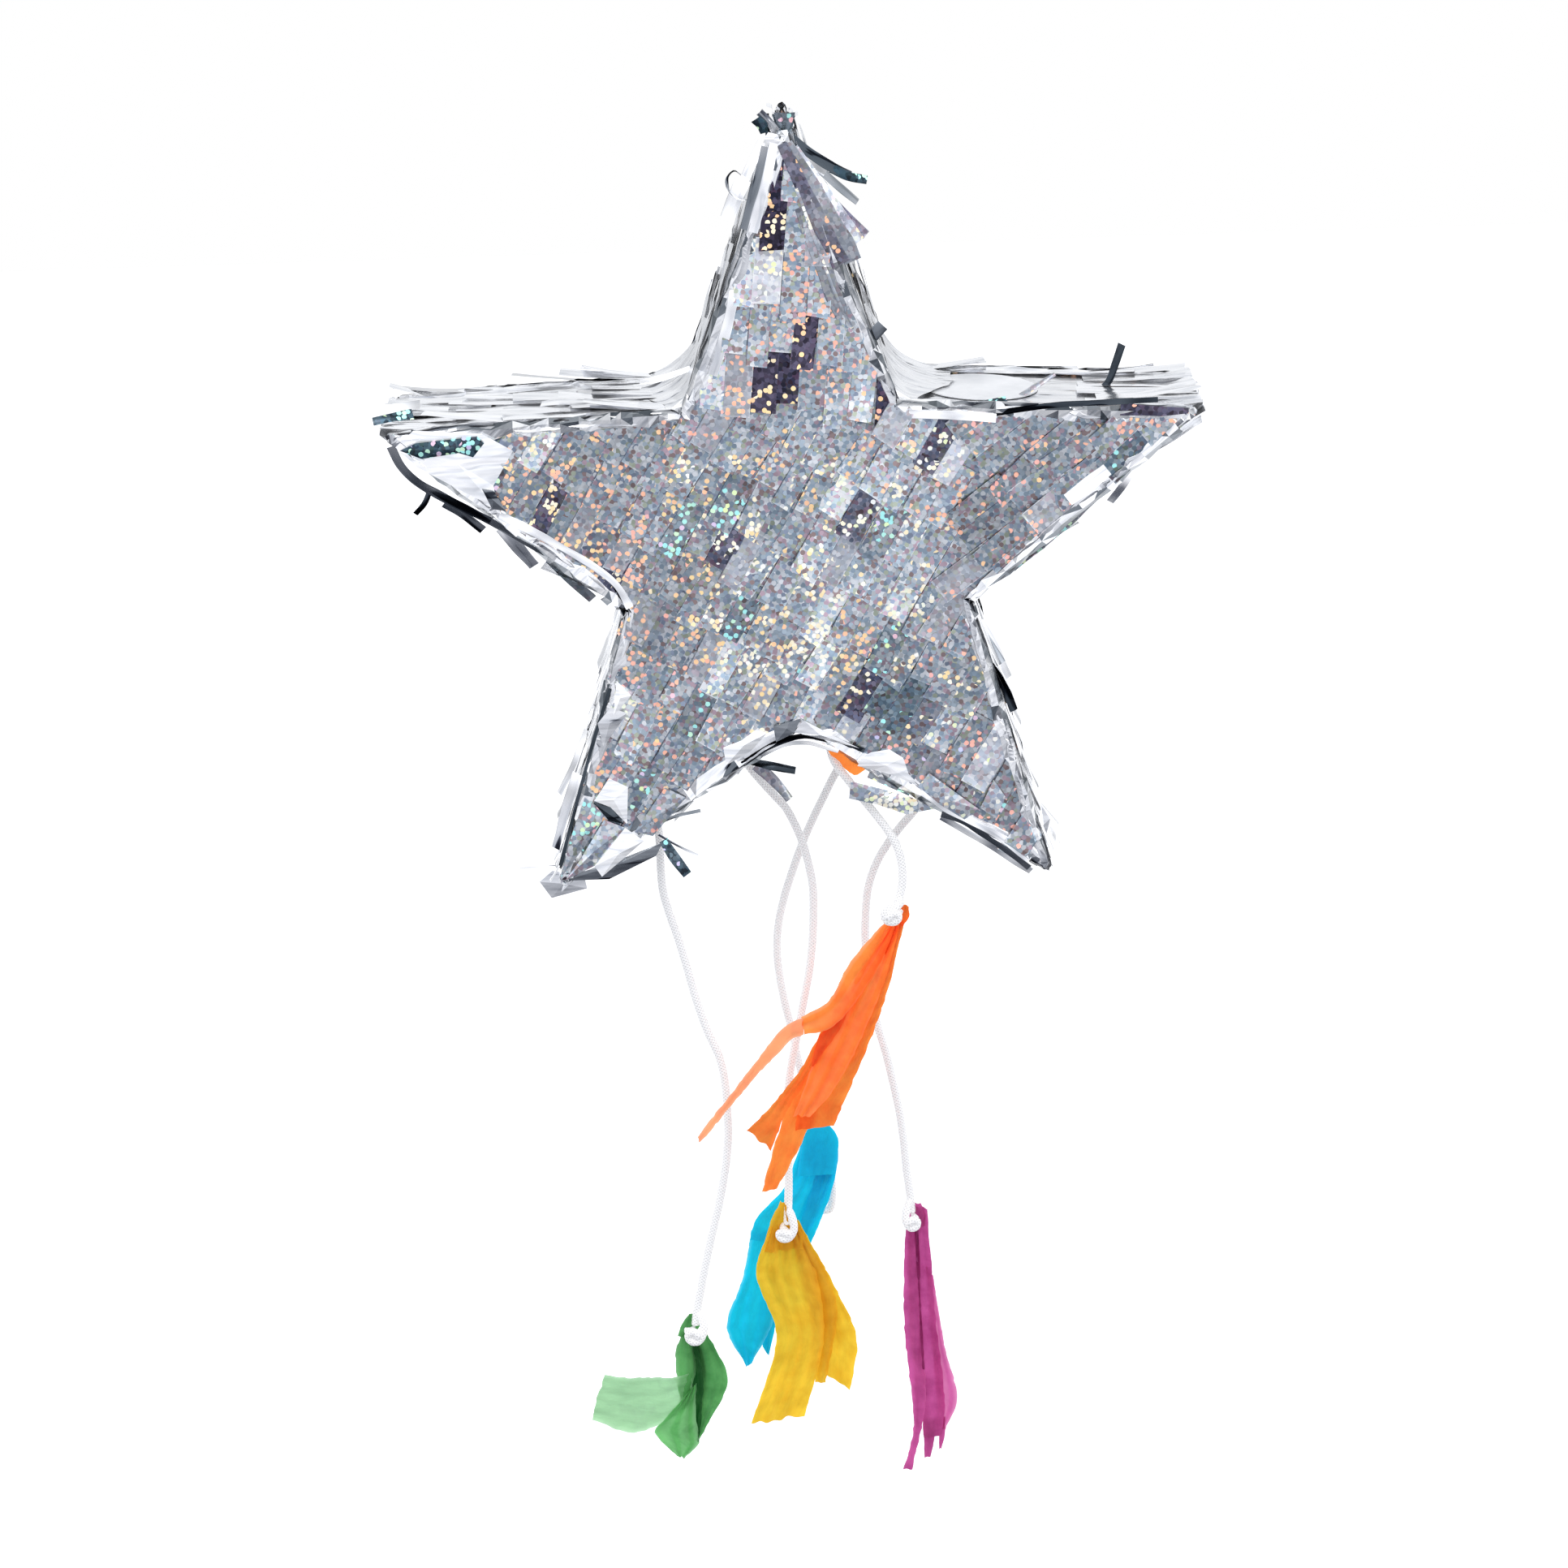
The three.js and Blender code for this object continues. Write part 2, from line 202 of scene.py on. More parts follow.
# ---------------------------------------------------------------- meshes
class Pile:
    """Gathers sheets into one mesh, with the attributes that its material reads.

    flat is each point's place on its unrolled sheet, in mm, and then the sheet's noise seed. On dotted film
    the third number is the share that is washed out to plain grey instead, and wash sets it for a whole pile.
    strip is tone, glint share and hue on film, and tone, see-through share and depth of colour on tissue. On
    dotted film the glint share is the share of dots with painted glints, and on mirror film it darkens the
    painted reflection streaks. On tissue the tone and depth of colour are partly painted shade.
    """

    def __init__(self, wash=None):
        self.points, self.faces, self.flat, self.strip = [], [], [], []
        self.count = 0
        self.wash = wash

    def add(self, points, faces, flat, strip):
        """points and flat are (N, 3), and strip holds three numbers for the whole sheet or for each point."""
        self.points.append(points)
        self.faces.extend([tuple(k + self.count for k in f) for f in faces])
        self.flat.append(flat)
        self.strip.append(np.broadcast_to(np.asarray(strip, float), (len(points), 3)))
        self.count += len(points)

    def grid(self, points, flat_xy, strip, seed):
        """Adds a sheet of points (rows, columns, 3) in mm."""
        rows, columns = points.shape[:2]
        faces = [
            (r * columns + c, r * columns + c + 1, (r + 1) * columns + c + 1, (r + 1) * columns + c)
            for r in range(rows - 1)
            for c in range(columns - 1)
        ]
        flat = np.dstack([flat_xy, np.full((rows, columns), self.third(seed))]).reshape(-1, 3)
        if np.ndim(strip) == 3:
            strip = np.asarray(strip).reshape(-1, 3)
        self.add(points.reshape(-1, 3), faces, flat, strip)

    def third(self, seed):
        return seed if self.wash is None else self.wash

    def build(self, name, body, slot, material, smooth=False):
        mesh = bpy.data.meshes.new(name)
        mesh.from_pydata(np.concatenate(self.points) * MM, [], self.faces)
        mesh.update()
        for key, data in (("flat", self.flat), ("strip", self.strip)):
            attribute = mesh.attributes.new(key, "FLOAT_VECTOR", "POINT")
            attribute.data.foreach_set("vector", np.concatenate(data).astype(np.float32).ravel())
        return place(mesh, name, body, material, smooth)


def place(mesh, name, body, material, smooth):
    mesh.polygons.foreach_set("use_smooth", np.full(len(mesh.polygons), smooth))
    mesh.materials.append(material)
    piece = bpy.data.objects.new(name, mesh)
    bpy.context.scene.collection.objects.link(piece)
    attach(piece, body)
    return piece


def curve_through(points, step):
    """A centripetal Catmull-Rom curve through points, sampled about every step."""
    points = np.asarray(points, float)
    padded = np.vstack([2 * points[0] - points[1], points, 2 * points[-1] - points[-2]])
    out = []
    for p0, p1, p2, p3 in zip(padded, padded[1:], padded[2:], padded[3:]):
        spans = [max(np.linalg.norm(b - a) ** 0.5, 1e-6) for a, b in ((p0, p1), (p1, p2), (p2, p3))]
        t0, t1 = 0.0, spans[0]
        t2, t3 = t1 + spans[1], t1 + spans[1] + spans[2]
        count = max(2, int(np.ceil(np.linalg.norm(p2 - p1) / step * 3)))
        t = np.linspace(t1, t2, count, endpoint=False)[:, None]
        a1 = (t1 - t) / (t1 - t0) * p0 + (t - t0) / (t1 - t0) * p1
        a2 = (t2 - t) / (t2 - t1) * p1 + (t - t1) / (t2 - t1) * p2
        a3 = (t3 - t) / (t3 - t2) * p2 + (t - t2) / (t3 - t2) * p3
        b1 = (t2 - t) / (t2 - t0) * a1 + (t - t0) / (t2 - t0) * a2
        b2 = (t3 - t) / (t3 - t1) * a2 + (t - t1) / (t3 - t1) * a3
        out.append((t2 - t) / (t2 - t1) * b1 + (t - t1) / (t2 - t1) * b2)
    dense = np.vstack(out + [points[-1:]])
    run = np.concatenate([[0], np.cumsum(np.linalg.norm(np.diff(dense, axis=0), axis=1))])
    even = np.linspace(0, run[-1], max(3, int(round(run[-1] / step)) + 1))
    return np.stack([np.interp(even, run, dense[:, k]) for k in range(dense.shape[1])], 1), run[-1]


BRAID_DEPTH = 0.09  # how deep the plaits are, as a share of the cord's radius
PLAIT_PITCH = 4.6


def tube(path, radius, sides, taper=0.0):
    """A closed tube along a dense path, in mm, with a plaited surface. Returns points, faces and flat."""
    tangent = np.gradient(path, axis=0)
    tangent /= np.linalg.norm(tangent, axis=1)[:, None]
    first = np.cross(tangent[0], [0, 1, 0])
    if np.linalg.norm(first) < 0.1:
        first = np.cross(tangent[0], [1, 0, 0])
    normals = [first / np.linalg.norm(first)]
    for t in tangent[1:]:
        n = normals[-1] - t * (normals[-1] @ t)
        normals.append(n / np.linalg.norm(n))
    normals = np.array(normals)
    binormals = np.cross(tangent, normals)
    run = np.concatenate([[0], np.cumsum(np.linalg.norm(np.diff(path, axis=0), axis=1))])
    angle = np.arange(sides) * 2 * math.pi / sides
    s, a = np.meshgrid(run, angle, indexing="ij")
    lead = 2 * math.pi / PLAIT_PITCH
    plait = np.maximum(np.abs(np.sin(2 * a + lead * s)), np.abs(np.sin(2 * a - lead * s)))
    width = np.full(len(path), radius)
    if taper:
        end = np.minimum(run, run[-1] - run)
        width = radius * np.sqrt(np.clip(end / taper, 0.15, 1))
    r = width[:, None] * (1 - BRAID_DEPTH + BRAID_DEPTH * plait)
    ring = np.cos(a)[..., None] * normals[:, None] + np.sin(a)[..., None] * binormals[:, None]
    points = (path[:, None] + r[..., None] * ring).reshape(-1, 3)
    rows = len(path)
    faces = [
        (i * sides + j, i * sides + (j + 1) % sides, (i + 1) * sides + (j + 1) % sides, (i + 1) * sides + j)
        for i in range(rows - 1)
        for j in range(sides)
    ]
    faces.append(tuple(range(sides))[::-1])
    faces.append(tuple((rows - 1) * sides + j for j in range(sides)))
    flat = np.stack([a * radius, s, np.zeros_like(s)], -1).reshape(-1, 3)
    return points, faces, flat


# ---------------------------------------------------------------- material helpers
def fill_ramp(ramp, stops):
    """Gives a colour ramp its stops, each a position and a colour."""
    while len(ramp.elements) < len(stops):
        ramp.elements.new(0.5)
    for element, (position, colour) in zip(ramp.elements, stops):
        element.position = position
        element.color = (*colour, 1)


class Nodes:
    """A short way to write a material's node tree."""

    def __init__(self, name):
        self.material = bpy.data.materials.new(name)
        self.material.use_nodes = True
        self.tree = self.material.node_tree
        self.shader = self.tree.nodes["Principled BSDF"]
        self.out = self.tree.nodes["Material Output"]

    def node(self, kind, **settings):
        made = self.tree.nodes.new(kind)
        for key, value in settings.items():
            setattr(made, key, value)
        return made

    def link(self, a, b):
        self.tree.links.new(a, b)

    def put(self, value, socket):
        if hasattr(value, "is_output"):
            self.link(value, socket)
        else:
            socket.default_value = value

    def math(self, operation, a, b=0.0, c=0.0, clamp=False):
        made = self.node("ShaderNodeMath", operation=operation, use_clamp=clamp)
        for value, socket in zip((a, b, c), made.inputs):
            self.put(value, socket)
        return made.outputs[0]

    def vector(self, operation, a, b=(0, 0, 0), scale=None):
        made = self.node("ShaderNodeVectorMath", operation=operation)
        self.put(a, made.inputs[0])
        self.put(b, made.inputs[1])
        if scale is not None:
            self.put(scale, made.inputs["Scale"])
        return made.outputs[0]

    def mix(self, factor, a, b, blend="MIX"):
        made = self.node("ShaderNodeMix", data_type="RGBA", blend_type=blend)
        self.put(factor, made.inputs[0])
        for value, socket in ((a, made.inputs[6]), (b, made.inputs[7])):
            if not hasattr(value, "is_output") and len(value) == 3:
                value = (*value, 1)
            self.put(value, socket)
        return made.outputs[2]

    def ramp(self, factor, stops, interpolation="LINEAR"):
        made = self.node("ShaderNodeValToRGB")
        made.color_ramp.interpolation = interpolation
        fill_ramp(made.color_ramp, stops)
        self.put(factor, made.inputs[0])
        return made.outputs[0]

    def attribute(self, name):
        return self.node("ShaderNodeAttribute", attribute_name=name).outputs["Vector"]

    def place_mm(self):
        """The place on a CAD node, in mm."""
        return self.vector("SCALE", self.node("ShaderNodeTexCoord").outputs["Object"], scale=1 / MM)

    def split(self, value):
        made = self.node("ShaderNodeSeparateXYZ")
        self.link(value, made.inputs[0])
        return made.outputs

    def join(self, x, y, z=0.0):
        made = self.node("ShaderNodeCombineXYZ")
        for value, socket in zip((x, y, z), made.inputs):
            self.put(value, socket)
        return made.outputs[0]

    def noise(self, vector, scale, detail=2.0, rough=0.5, warp=0.0):
        made = self.node("ShaderNodeTexNoise")
        self.put(vector, made.inputs["Vector"])
        made.inputs["Scale"].default_value = scale
        made.inputs["Detail"].default_value = detail
        made.inputs["Roughness"].default_value = rough
        made.inputs["Distortion"].default_value = warp
        return made.outputs

    def bump(self, height, strength, distance, normal=None):
        made = self.node("ShaderNodeBump")
        made.inputs["Strength"].default_value = strength
        made.inputs["Distance"].default_value = distance
        self.put(height, made.inputs["Height"])
        if normal is not None:
            self.put(normal, made.inputs["Normal"])
        return made.outputs[0]

    def set(self, **values):
        for key, value in values.items():
            self.put(value, self.shader.inputs[key.replace("_", " ")])
        return self.material


def foil_plane(n, on_cad, on_walls=False):
    """Millimetres over the foil: the flat attribute on a made piece, or the place itself on a CAD node."""
    if not on_cad:
        return n.attribute("flat")
    x, y, z = n.split(n.place_mm())
    return n.join(n.math("ADD", x, z), y) if on_walls else n.join(x, z)


# Colours of the film's dots, and of the painted highlights on those that glint, along a ramp that each dot has
# its own place on.
DOT_TINTS = [
    (0.0, (0.50, 0.60, 0.69)),
    (0.22, (0.74, 0.78, 0.82)),
    (0.40, (0.36, 0.46, 0.56)),
    (0.52, (0.52, 0.58, 0.47)),
    (0.61, (0.60, 0.45, 0.53)),
    (0.71, (0.40, 0.30, 0.30)),
    (0.79, (0.82, 0.85, 0.89)),
    (0.91, (0.33, 0.39, 0.51)),
]
PAINTED_GLINTS = [
    (0.0, (0.62, 0.66, 1.0)),
    (0.08, (1.0, 0.50, 0.44)),
    (0.24, (1.0, 0.53, 0.38)),
    (0.40, (1.0, 0.74, 0.38)),
    (0.55, (1.0, 0.93, 0.72)),
    (0.66, (0.98, 0.99, 0.97)),
    (0.78, (0.86, 0.98, 0.48)),
    (0.93, (0.42, 0.90, 0.88)),
]
DOT_PITCH = 2.2
DOT_RADIUS = 0.49  # in pitches
UNDER_SCALE = 1.13  # how much finer the film between the round dots is
WASHED_GREY = (0.60, 0.60, 0.645)
WHITE = (1.0, 1.0, 1.0)
VIOLET_CAST, TEAL_CAST = (0.72, 0.55, 1.0), (0.32, 0.78, 1.0)
TEAL_HUE = 0.8  # a dark strip with a hue above this casts teal, and otherwise violet


def holographic(name, on_cad=False):
    """Metallised film with small round dots, each tilted and tinted on its own, some of them with painted
    glints that glow.
    """
    n = Nodes(name)
    plane = foil_plane(n, on_cad)
    scaled = n.vector("SCALE", plane, scale=1 / DOT_PITCH)
    dots = n.node("ShaderNodeTexVoronoi", voronoi_dimensions="2D")
    dots.inputs["Randomness"].default_value = 0.72
    dots.inputs["Scale"].default_value = 1.0
    n.link(scaled, dots.inputs["Vector"])
    under = n.node("ShaderNodeTexVoronoi", voronoi_dimensions="2D")
    under.inputs["Randomness"].default_value = 0.9
    under.inputs["Scale"].default_value = UNDER_SCALE
    n.link(n.vector("ADD", scaled, (41.3, 17.7, 0)), under.inputs["Vector"])
    on_dot = n.math("LESS_THAN", dots.outputs["Distance"], DOT_RADIUS)
    cell = n.mix(on_dot, under.outputs["Color"], dots.outputs["Color"])
    red, green, blue = n.split(cell)
    tint = n.ramp(red, DOT_TINTS, "CONSTANT")
    if on_cad:
        tone, glint, hue = 0.85, 0.10, 0.3
        dark_cast = VIOLET_CAST
    else:
        tone, glint, hue = n.split(n.attribute("strip"))
        washed = n.math("MULTIPLY", n.split(plane)[2], 1.3, clamp=True)
        tint = n.mix(washed, tint, WASHED_GREY)
        dark_cast = n.mix(n.math("GREATER_THAN", hue, TEAL_HUE), VIOLET_CAST, TEAL_CAST)
    clear = n.math("MULTIPLY", tone, 1.5, clamp=True)
    swing = n.math("MULTIPLY_ADD", clear, -1.1, 1.55)
    gain = n.math("MULTIPLY_ADD", n.math("SUBTRACT", green, 0.5), swing, 1.0)
    cast = n.mix(clear, dark_cast, WHITE)
    body = n.vector("SCALE", tint, scale=n.math("MULTIPLY", tone, gain))
    body = n.vector("MULTIPLY", body, cast)
    # Painted highlights: some dots get a bright glint colour, clustered where this field is high.
    painted_glint_field = n.noise(plane, 0.05, 2.0, 0.6)[0]
    chance = n.math("MULTIPLY", glint, n.math("MULTIPLY_ADD", painted_glint_field, 8.0, -3.4))
    painted_glint_mask = n.math("MULTIPLY", n.math("LESS_THAN", blue, chance), on_dot)
    spread = n.math("MULTIPLY_ADD", n.math("ADD", red, green), 0.17, -0.17)
    shade = n.math("FRACT", n.math("ADD", hue, spread))
    painted_glint_colour = n.ramp(shade, PAINTED_GLINTS, "LINEAR")
    colour = n.mix(painted_glint_mask, body, painted_glint_colour)
    lean = n.vector("SUBTRACT", cell, (0.5, 0.5, 0.5))
    geometry = n.node("ShaderNodeNewGeometry").outputs["Normal"]
    tilted = n.vector("NORMALIZE", n.vector("ADD", geometry, n.vector("SCALE", lean, scale=0.10)))
    crinkle = n.noise(plane, 0.12, 3.0, 0.55)[0]
    normal = n.bump(crinkle, 0.25, 0.0006, tilted)
    n.set(Base_Color=colour, Metallic=0.88, Roughness=0.30, Normal=normal)
    # The painted glints also glow.
    n.put(n.mix(painted_glint_mask, (0, 0, 0), painted_glint_colour), n.shader.inputs["Emission Color"])
    n.shader.inputs["Emission Strength"].default_value = 0.38
    return n.material


# Painted reflections of the mirror film, from the dark streaks of its creases to its brightest, along the
# streak noise.
PAINTED_REFLECTION_STREAKS = [
    (0.27, (0.018, 0.020, 0.030)),
    (0.315, (0.10, 0.11, 0.14)),
    (0.335, (0.66, 0.68, 0.72)),
    (0.45, (0.84, 0.85, 0.875)),
    (0.58, (0.93, 0.935, 0.95)),
    (0.66, (0.70, 0.72, 0.76)),
    (0.72, (0.92, 0.92, 0.94)),
]
STEEL_CAST = (0.60, 0.78, 0.95)


def mirror_foil(name, on_cad=False):
    """Plain metallised film, creased along its length, with painted reflections: dark streaks where a crease
    turns away from the light.

    A tone above 1 gives the film a painted glow, and a glint share moves its painted streaks towards dark.
    """
    n = Nodes(name)
    plane = foil_plane(n, on_cad, on_walls=True)
    x, y, z = n.split(plane)
    along = n.join(n.math("MULTIPLY", x, 0.024), n.math("MULTIPLY", y, 0.16), z)
    streak = n.noise(along, 1.0, 2.2, 0.5, 0.25)[0]
    fold = n.noise(n.join(n.math("MULTIPLY", x, 0.05), n.math("MULTIPLY", y, 0.12), z), 1.0, 2.0, 0.5)[0]
    height = n.math("ADD", n.math("MULTIPLY", streak, 0.8), fold)
    normal = n.bump(height, 0.35, 0.0016)
    if on_cad:
        colour = n.vector("SCALE", n.ramp(streak, PAINTED_REFLECTION_STREAKS), scale=0.9)
    else:
        tone, glint, _ = n.split(n.attribute("strip"))
        shade = n.ramp(n.math("SUBTRACT", streak, glint), PAINTED_REFLECTION_STREAKS)
        steel = n.mix(n.math("MULTIPLY", tone, 1.7, clamp=True), STEEL_CAST, WHITE)
        colour = n.vector("MULTIPLY", n.vector("SCALE", shade, scale=n.math("MINIMUM", tone, 1.0)), steel)
        # Painted glow: above tone 1 the film emits its own streak colour.
        n.put(shade, n.shader.inputs["Emission Color"])
        n.put(n.math("SUBTRACT", tone, 1.0, clamp=True), n.shader.inputs["Emission Strength"])
    return n.set(Base_Color=colour, Metallic=0.96, Roughness=0.2, Normal=normal)


def tissue(name, light, deep):
    """Thin dyed tissue: mottled, finely wrinkled and partly see-through."""
    n = Nodes(name)
    plane = n.attribute("flat")
    x, y, z = n.split(plane)
    mottle = n.noise(plane, 0.09, 4.0, 0.6)[0]
    grain = n.noise(n.join(x, n.math("MULTIPLY", y, 0.22), z), 0.55, 3.0, 0.6)[0]
    tone, sheer, depth = n.split(n.attribute("strip"))
    shallow = n.math("SUBTRACT", n.math("MULTIPLY_ADD", mottle, 1.6, 0.1), depth, clamp=True)
    paleness = n.math("MULTIPLY", depth, -1.0, clamp=True)
    mixed = n.mix(paleness, n.mix(shallow, deep, light), WHITE)
    grain_tone = n.math("MULTIPLY_ADD", grain, 0.24, 0.88)
    colour = n.vector("SCALE", mixed, scale=n.math("MULTIPLY", tone, grain_tone))
    wrinkle = n.math("ADD", n.math("MULTIPLY", grain, 0.5), mottle)
    normal = n.bump(wrinkle, 0.35, 0.0014)
    n.set(Base_Color=colour, Roughness=0.55, Normal=normal)
    n.shader.inputs["Specular IOR Level"].default_value = 0.25
    n.shader.inputs["Sheen Weight"].default_value = 0.15
    through = n.node("ShaderNodeBsdfTranslucent")
    n.put(colour, through.inputs["Color"])
    n.put(normal, through.inputs["Normal"])
    both = n.node("ShaderNodeMixShader")
    n.link(n.math("MULTIPLY_ADD", sheer, 0.4, 0.32), both.inputs[0])
    n.link(n.shader.outputs[0], both.inputs[1])
    n.link(through.outputs[0], both.inputs[2])
    n.link(both.outputs[0], n.out.inputs["Surface"])
    return n.material


def braid(name, on_cad=False):
    """White braided polyester cord, with painted shade in the grooves of its plait and a painted glow."""
    n = Nodes(name)
    plane = n.place_mm() if on_cad else n.attribute("flat")
    x, y, _ = n.split(plane)
    around, along = n.math("MULTIPLY", x, 3.3), n.math("MULTIPLY", y, 4.2)
    leans = [n.math("SINE", n.math(way, around, along)) for way in ("ADD", "SUBTRACT")]
    weave = n.math("MAXIMUM", *leans)
    soil = n.noise(plane, 0.3, 3.0, 0.6)[0]
    # Painted shade: the colour goes from white to grey in the grooves of the plait.
    colour = n.mix(n.math("MULTIPLY_ADD", weave, 0.4, 0.5, clamp=True), (0.58, 0.58, 0.585), WHITE)
    colour = n.mix(n.math("MULTIPLY", soil, 0.16), colour, (0.66, 0.63, 0.61))
    # Painted glow: the cord emits its own colour.
    n.put(colour, n.shader.inputs["Emission Color"])
    n.shader.inputs["Emission Strength"].default_value = 0.20
    return n.set(Base_Color=colour, Roughness=0.55, Normal=n.bump(n.math("ADD", weave, soil), 0.4, 0.0004))


def card(name):
    """Brown pulp card with short fibres."""
    n = Nodes(name)
    place_mm = n.place_mm()
    fibre = n.noise(n.vector("MULTIPLY", place_mm, (1.2, 0.2, 0.2)), 1.0, 5.0, 0.65)[0]
    speck = n.noise(place_mm, 1.6, 2.0, 0.5)[0]
    colour = n.ramp(fibre, [(0.3, (0.26, 0.165, 0.085)), (0.7, (0.45, 0.31, 0.175))])
    colour = n.mix(n.math("GREATER_THAN", speck, 0.68), colour, (0.20, 0.12, 0.06))
    return n.set(Base_Color=colour, Roughness=0.88, Normal=n.bump(fibre, 0.2, 0.0004))


def coated_paper(name):
    """The blank sticker: coated white paper with a faint grey sheen."""
    n = Nodes(name)
    place_mm = n.place_mm()
    cloud = n.noise(place_mm, 0.08, 3.0, 0.5)[0]
    fleck = n.noise(place_mm, 2.2, 2.0, 0.5)[0]
    colour = n.ramp(cloud, [(0.3, (0.66, 0.675, 0.70)), (0.7, (0.80, 0.81, 0.83))])
    normal = n.bump(fleck, 0.06, 0.0002)
    return n.set(Base_Color=colour, Roughness=0.38, Coat_Weight=0.3, Normal=normal, Metallic=0.15)


HOLO = holographic("holographic_foil")
HOLO_CAD = holographic("holographic_base", on_cad=True)
MIRROR = mirror_foil("mirror_foil")
MIRROR_CAD = mirror_foil("mirror_base", on_cad=True)
BRAID = braid("braided_cord")
BRAID_CAD = braid("cord_knot", on_cad=True)
TISSUES = {
    "orange": tissue("tissue_orange", (1.0, 0.285, 0.05), (0.88, 0.10, 0.015)),
    "green": tissue("tissue_green", (0.125, 0.42, 0.125), (0.012, 0.15, 0.024)),
    "yellow": tissue("tissue_yellow", (0.98, 0.63, 0.040), (0.78, 0.36, 0.004)),
    "cyan": tissue("tissue_cyan", (0.004, 0.60, 0.86), (0.002, 0.40, 0.66)),
    "magenta": tissue("tissue_magenta", (0.55, 0.09, 0.31), (0.28, 0.012, 0.12)),
}


# ---------------------------------------------------------------- cords
# Each cord's wall, its hole's distance from the notch, its Y at the hole and at its knot, the way that its
# tassel's neck points, and the points (X, Z) that it runs through, in millimetres, as in part.mjs.
CORDS = {
    "green": {
        "wall": LEFT_INNER,
        "at": 81.5,
        "y": (-14, -16.5),
        "knot": (-57, -550),
        "neck": (-0.1, -1),
        "route": [
            (-64.5, -310), (-64, -318), (-64, -328), (-63.5, -339), (-61, -350), (-57.5, -362),
            (-54, -376), (-50.5, -391), (-46, -406), (-41, -419), (-39, -431), (-38.5, -444),
            (-38.5, -456), (-40, -470), (-43.5, -488), (-47.5, -504), (-51, -519), (-54, -533),
        ],
    },
    "yellow": {
        "wall": LEFT_INNER,
        "at": 37.5,
        "y": (8, -2),
        "knot": (-13.5, -508),
        "neck": (-0.1, -1),
        "route": [
            (-22, -292), (-18, -297), (-13, -303), (-8, -309), (-4, -317), (-1, -325), (1, -333),
            (3, -345), (3, -358), (2, -373), (0, -387), (-3, -401), (-6, -415), (-9, -429),
            (-11, -442), (-12, -455), (-12, -470), (-12, -484), (-12.5, -496),
        ],
    },
    "cyan": {
        "wall": DOOR_WALL,
        "at": 35.5,
        "y": (25, 27),
        "knot": (5, -480),
        "neck": (0, -1),
        "route": [
            (17, -296), (13, -303), (9, -311), (5, -319), (0, -330), (-5, -343), (-10, -358),
            (-13, -371), (-14, -384), (-13, -397), (-11, -410), (-8, -424), (-6, -437), (-3, -450),
            (1, -461), (4, -470),
        ],
    },
    "magenta": {
        "wall": DOOR_WALL,
        "at": 73,
        "y": (13, 12.5),
        "knot": (44, -510),
        "neck": (0, -1),
        "route": [
            (49, -315), (43, -322), (37, -330), (32, -338.5), (28, -350), (26.5, -362), (26, -377),
            (27, -395), (30, -414), (34, -430), (37, -445), (39.5, -459), (41, -473), (42, -487),
            (43.3, -499),
        ],
    },
    "orange": {
        "wall": DOOR_WALL,
        "at": 17,
        "y": (-24, -30.5),
        "knot": (38.5, -348),
        "neck": (-0.35, -0.94),
        "route": [
            (12.5, -272), (13.5, -277), (16, -281.5), (20, -287), (25, -294), (31, -302),
            (36, -309), (40, -316), (42.3, -325), (42.3, -335),
        ],
    },
}
PULL = "orange"
EXIT_DEPTHS = [3.85, 1.65, -1.5, -4]  # from inside the wall to clear of its foil
PULL_EXIT_DEPTH = -2.3  # the pull cord starts just outside the flap's foil
CORD_STEP = 0.75
CORD_SIDES = 20
KNOT_APPROACH = 2.5  # how far before its knot a cord turns to run along the tassel's neck


def cord_body(colour):
    return "pull_cord" if colour == PULL else colour + "_cord"


def cord_route(colour):
    """The cord's points in space, in mm: square out of the wall, down its route, and to its knot."""
    cord = CORDS[colour]
    depths = [PULL_EXIT_DEPTH] if colour == PULL else EXIT_DEPTHS
    points = [on_wall(cord["wall"], cord["at"], depth) for depth in depths]
    start = len(points)
    points += [np.array(p, float) for p in cord["route"]]
    neck = np.array(cord["neck"], float)
    neck /= np.linalg.norm(neck)
    points.append(np.array(cord["knot"], float) - neck * KNOT_APPROACH)
    steps = len(points) - start
    y0, y1 = cord["y"]
    return np.array(
        [[p[0], y0 + (y1 - y0) * max(0, i - start + 1) / steps, p[1]] for i, p in enumerate(points)]
    )


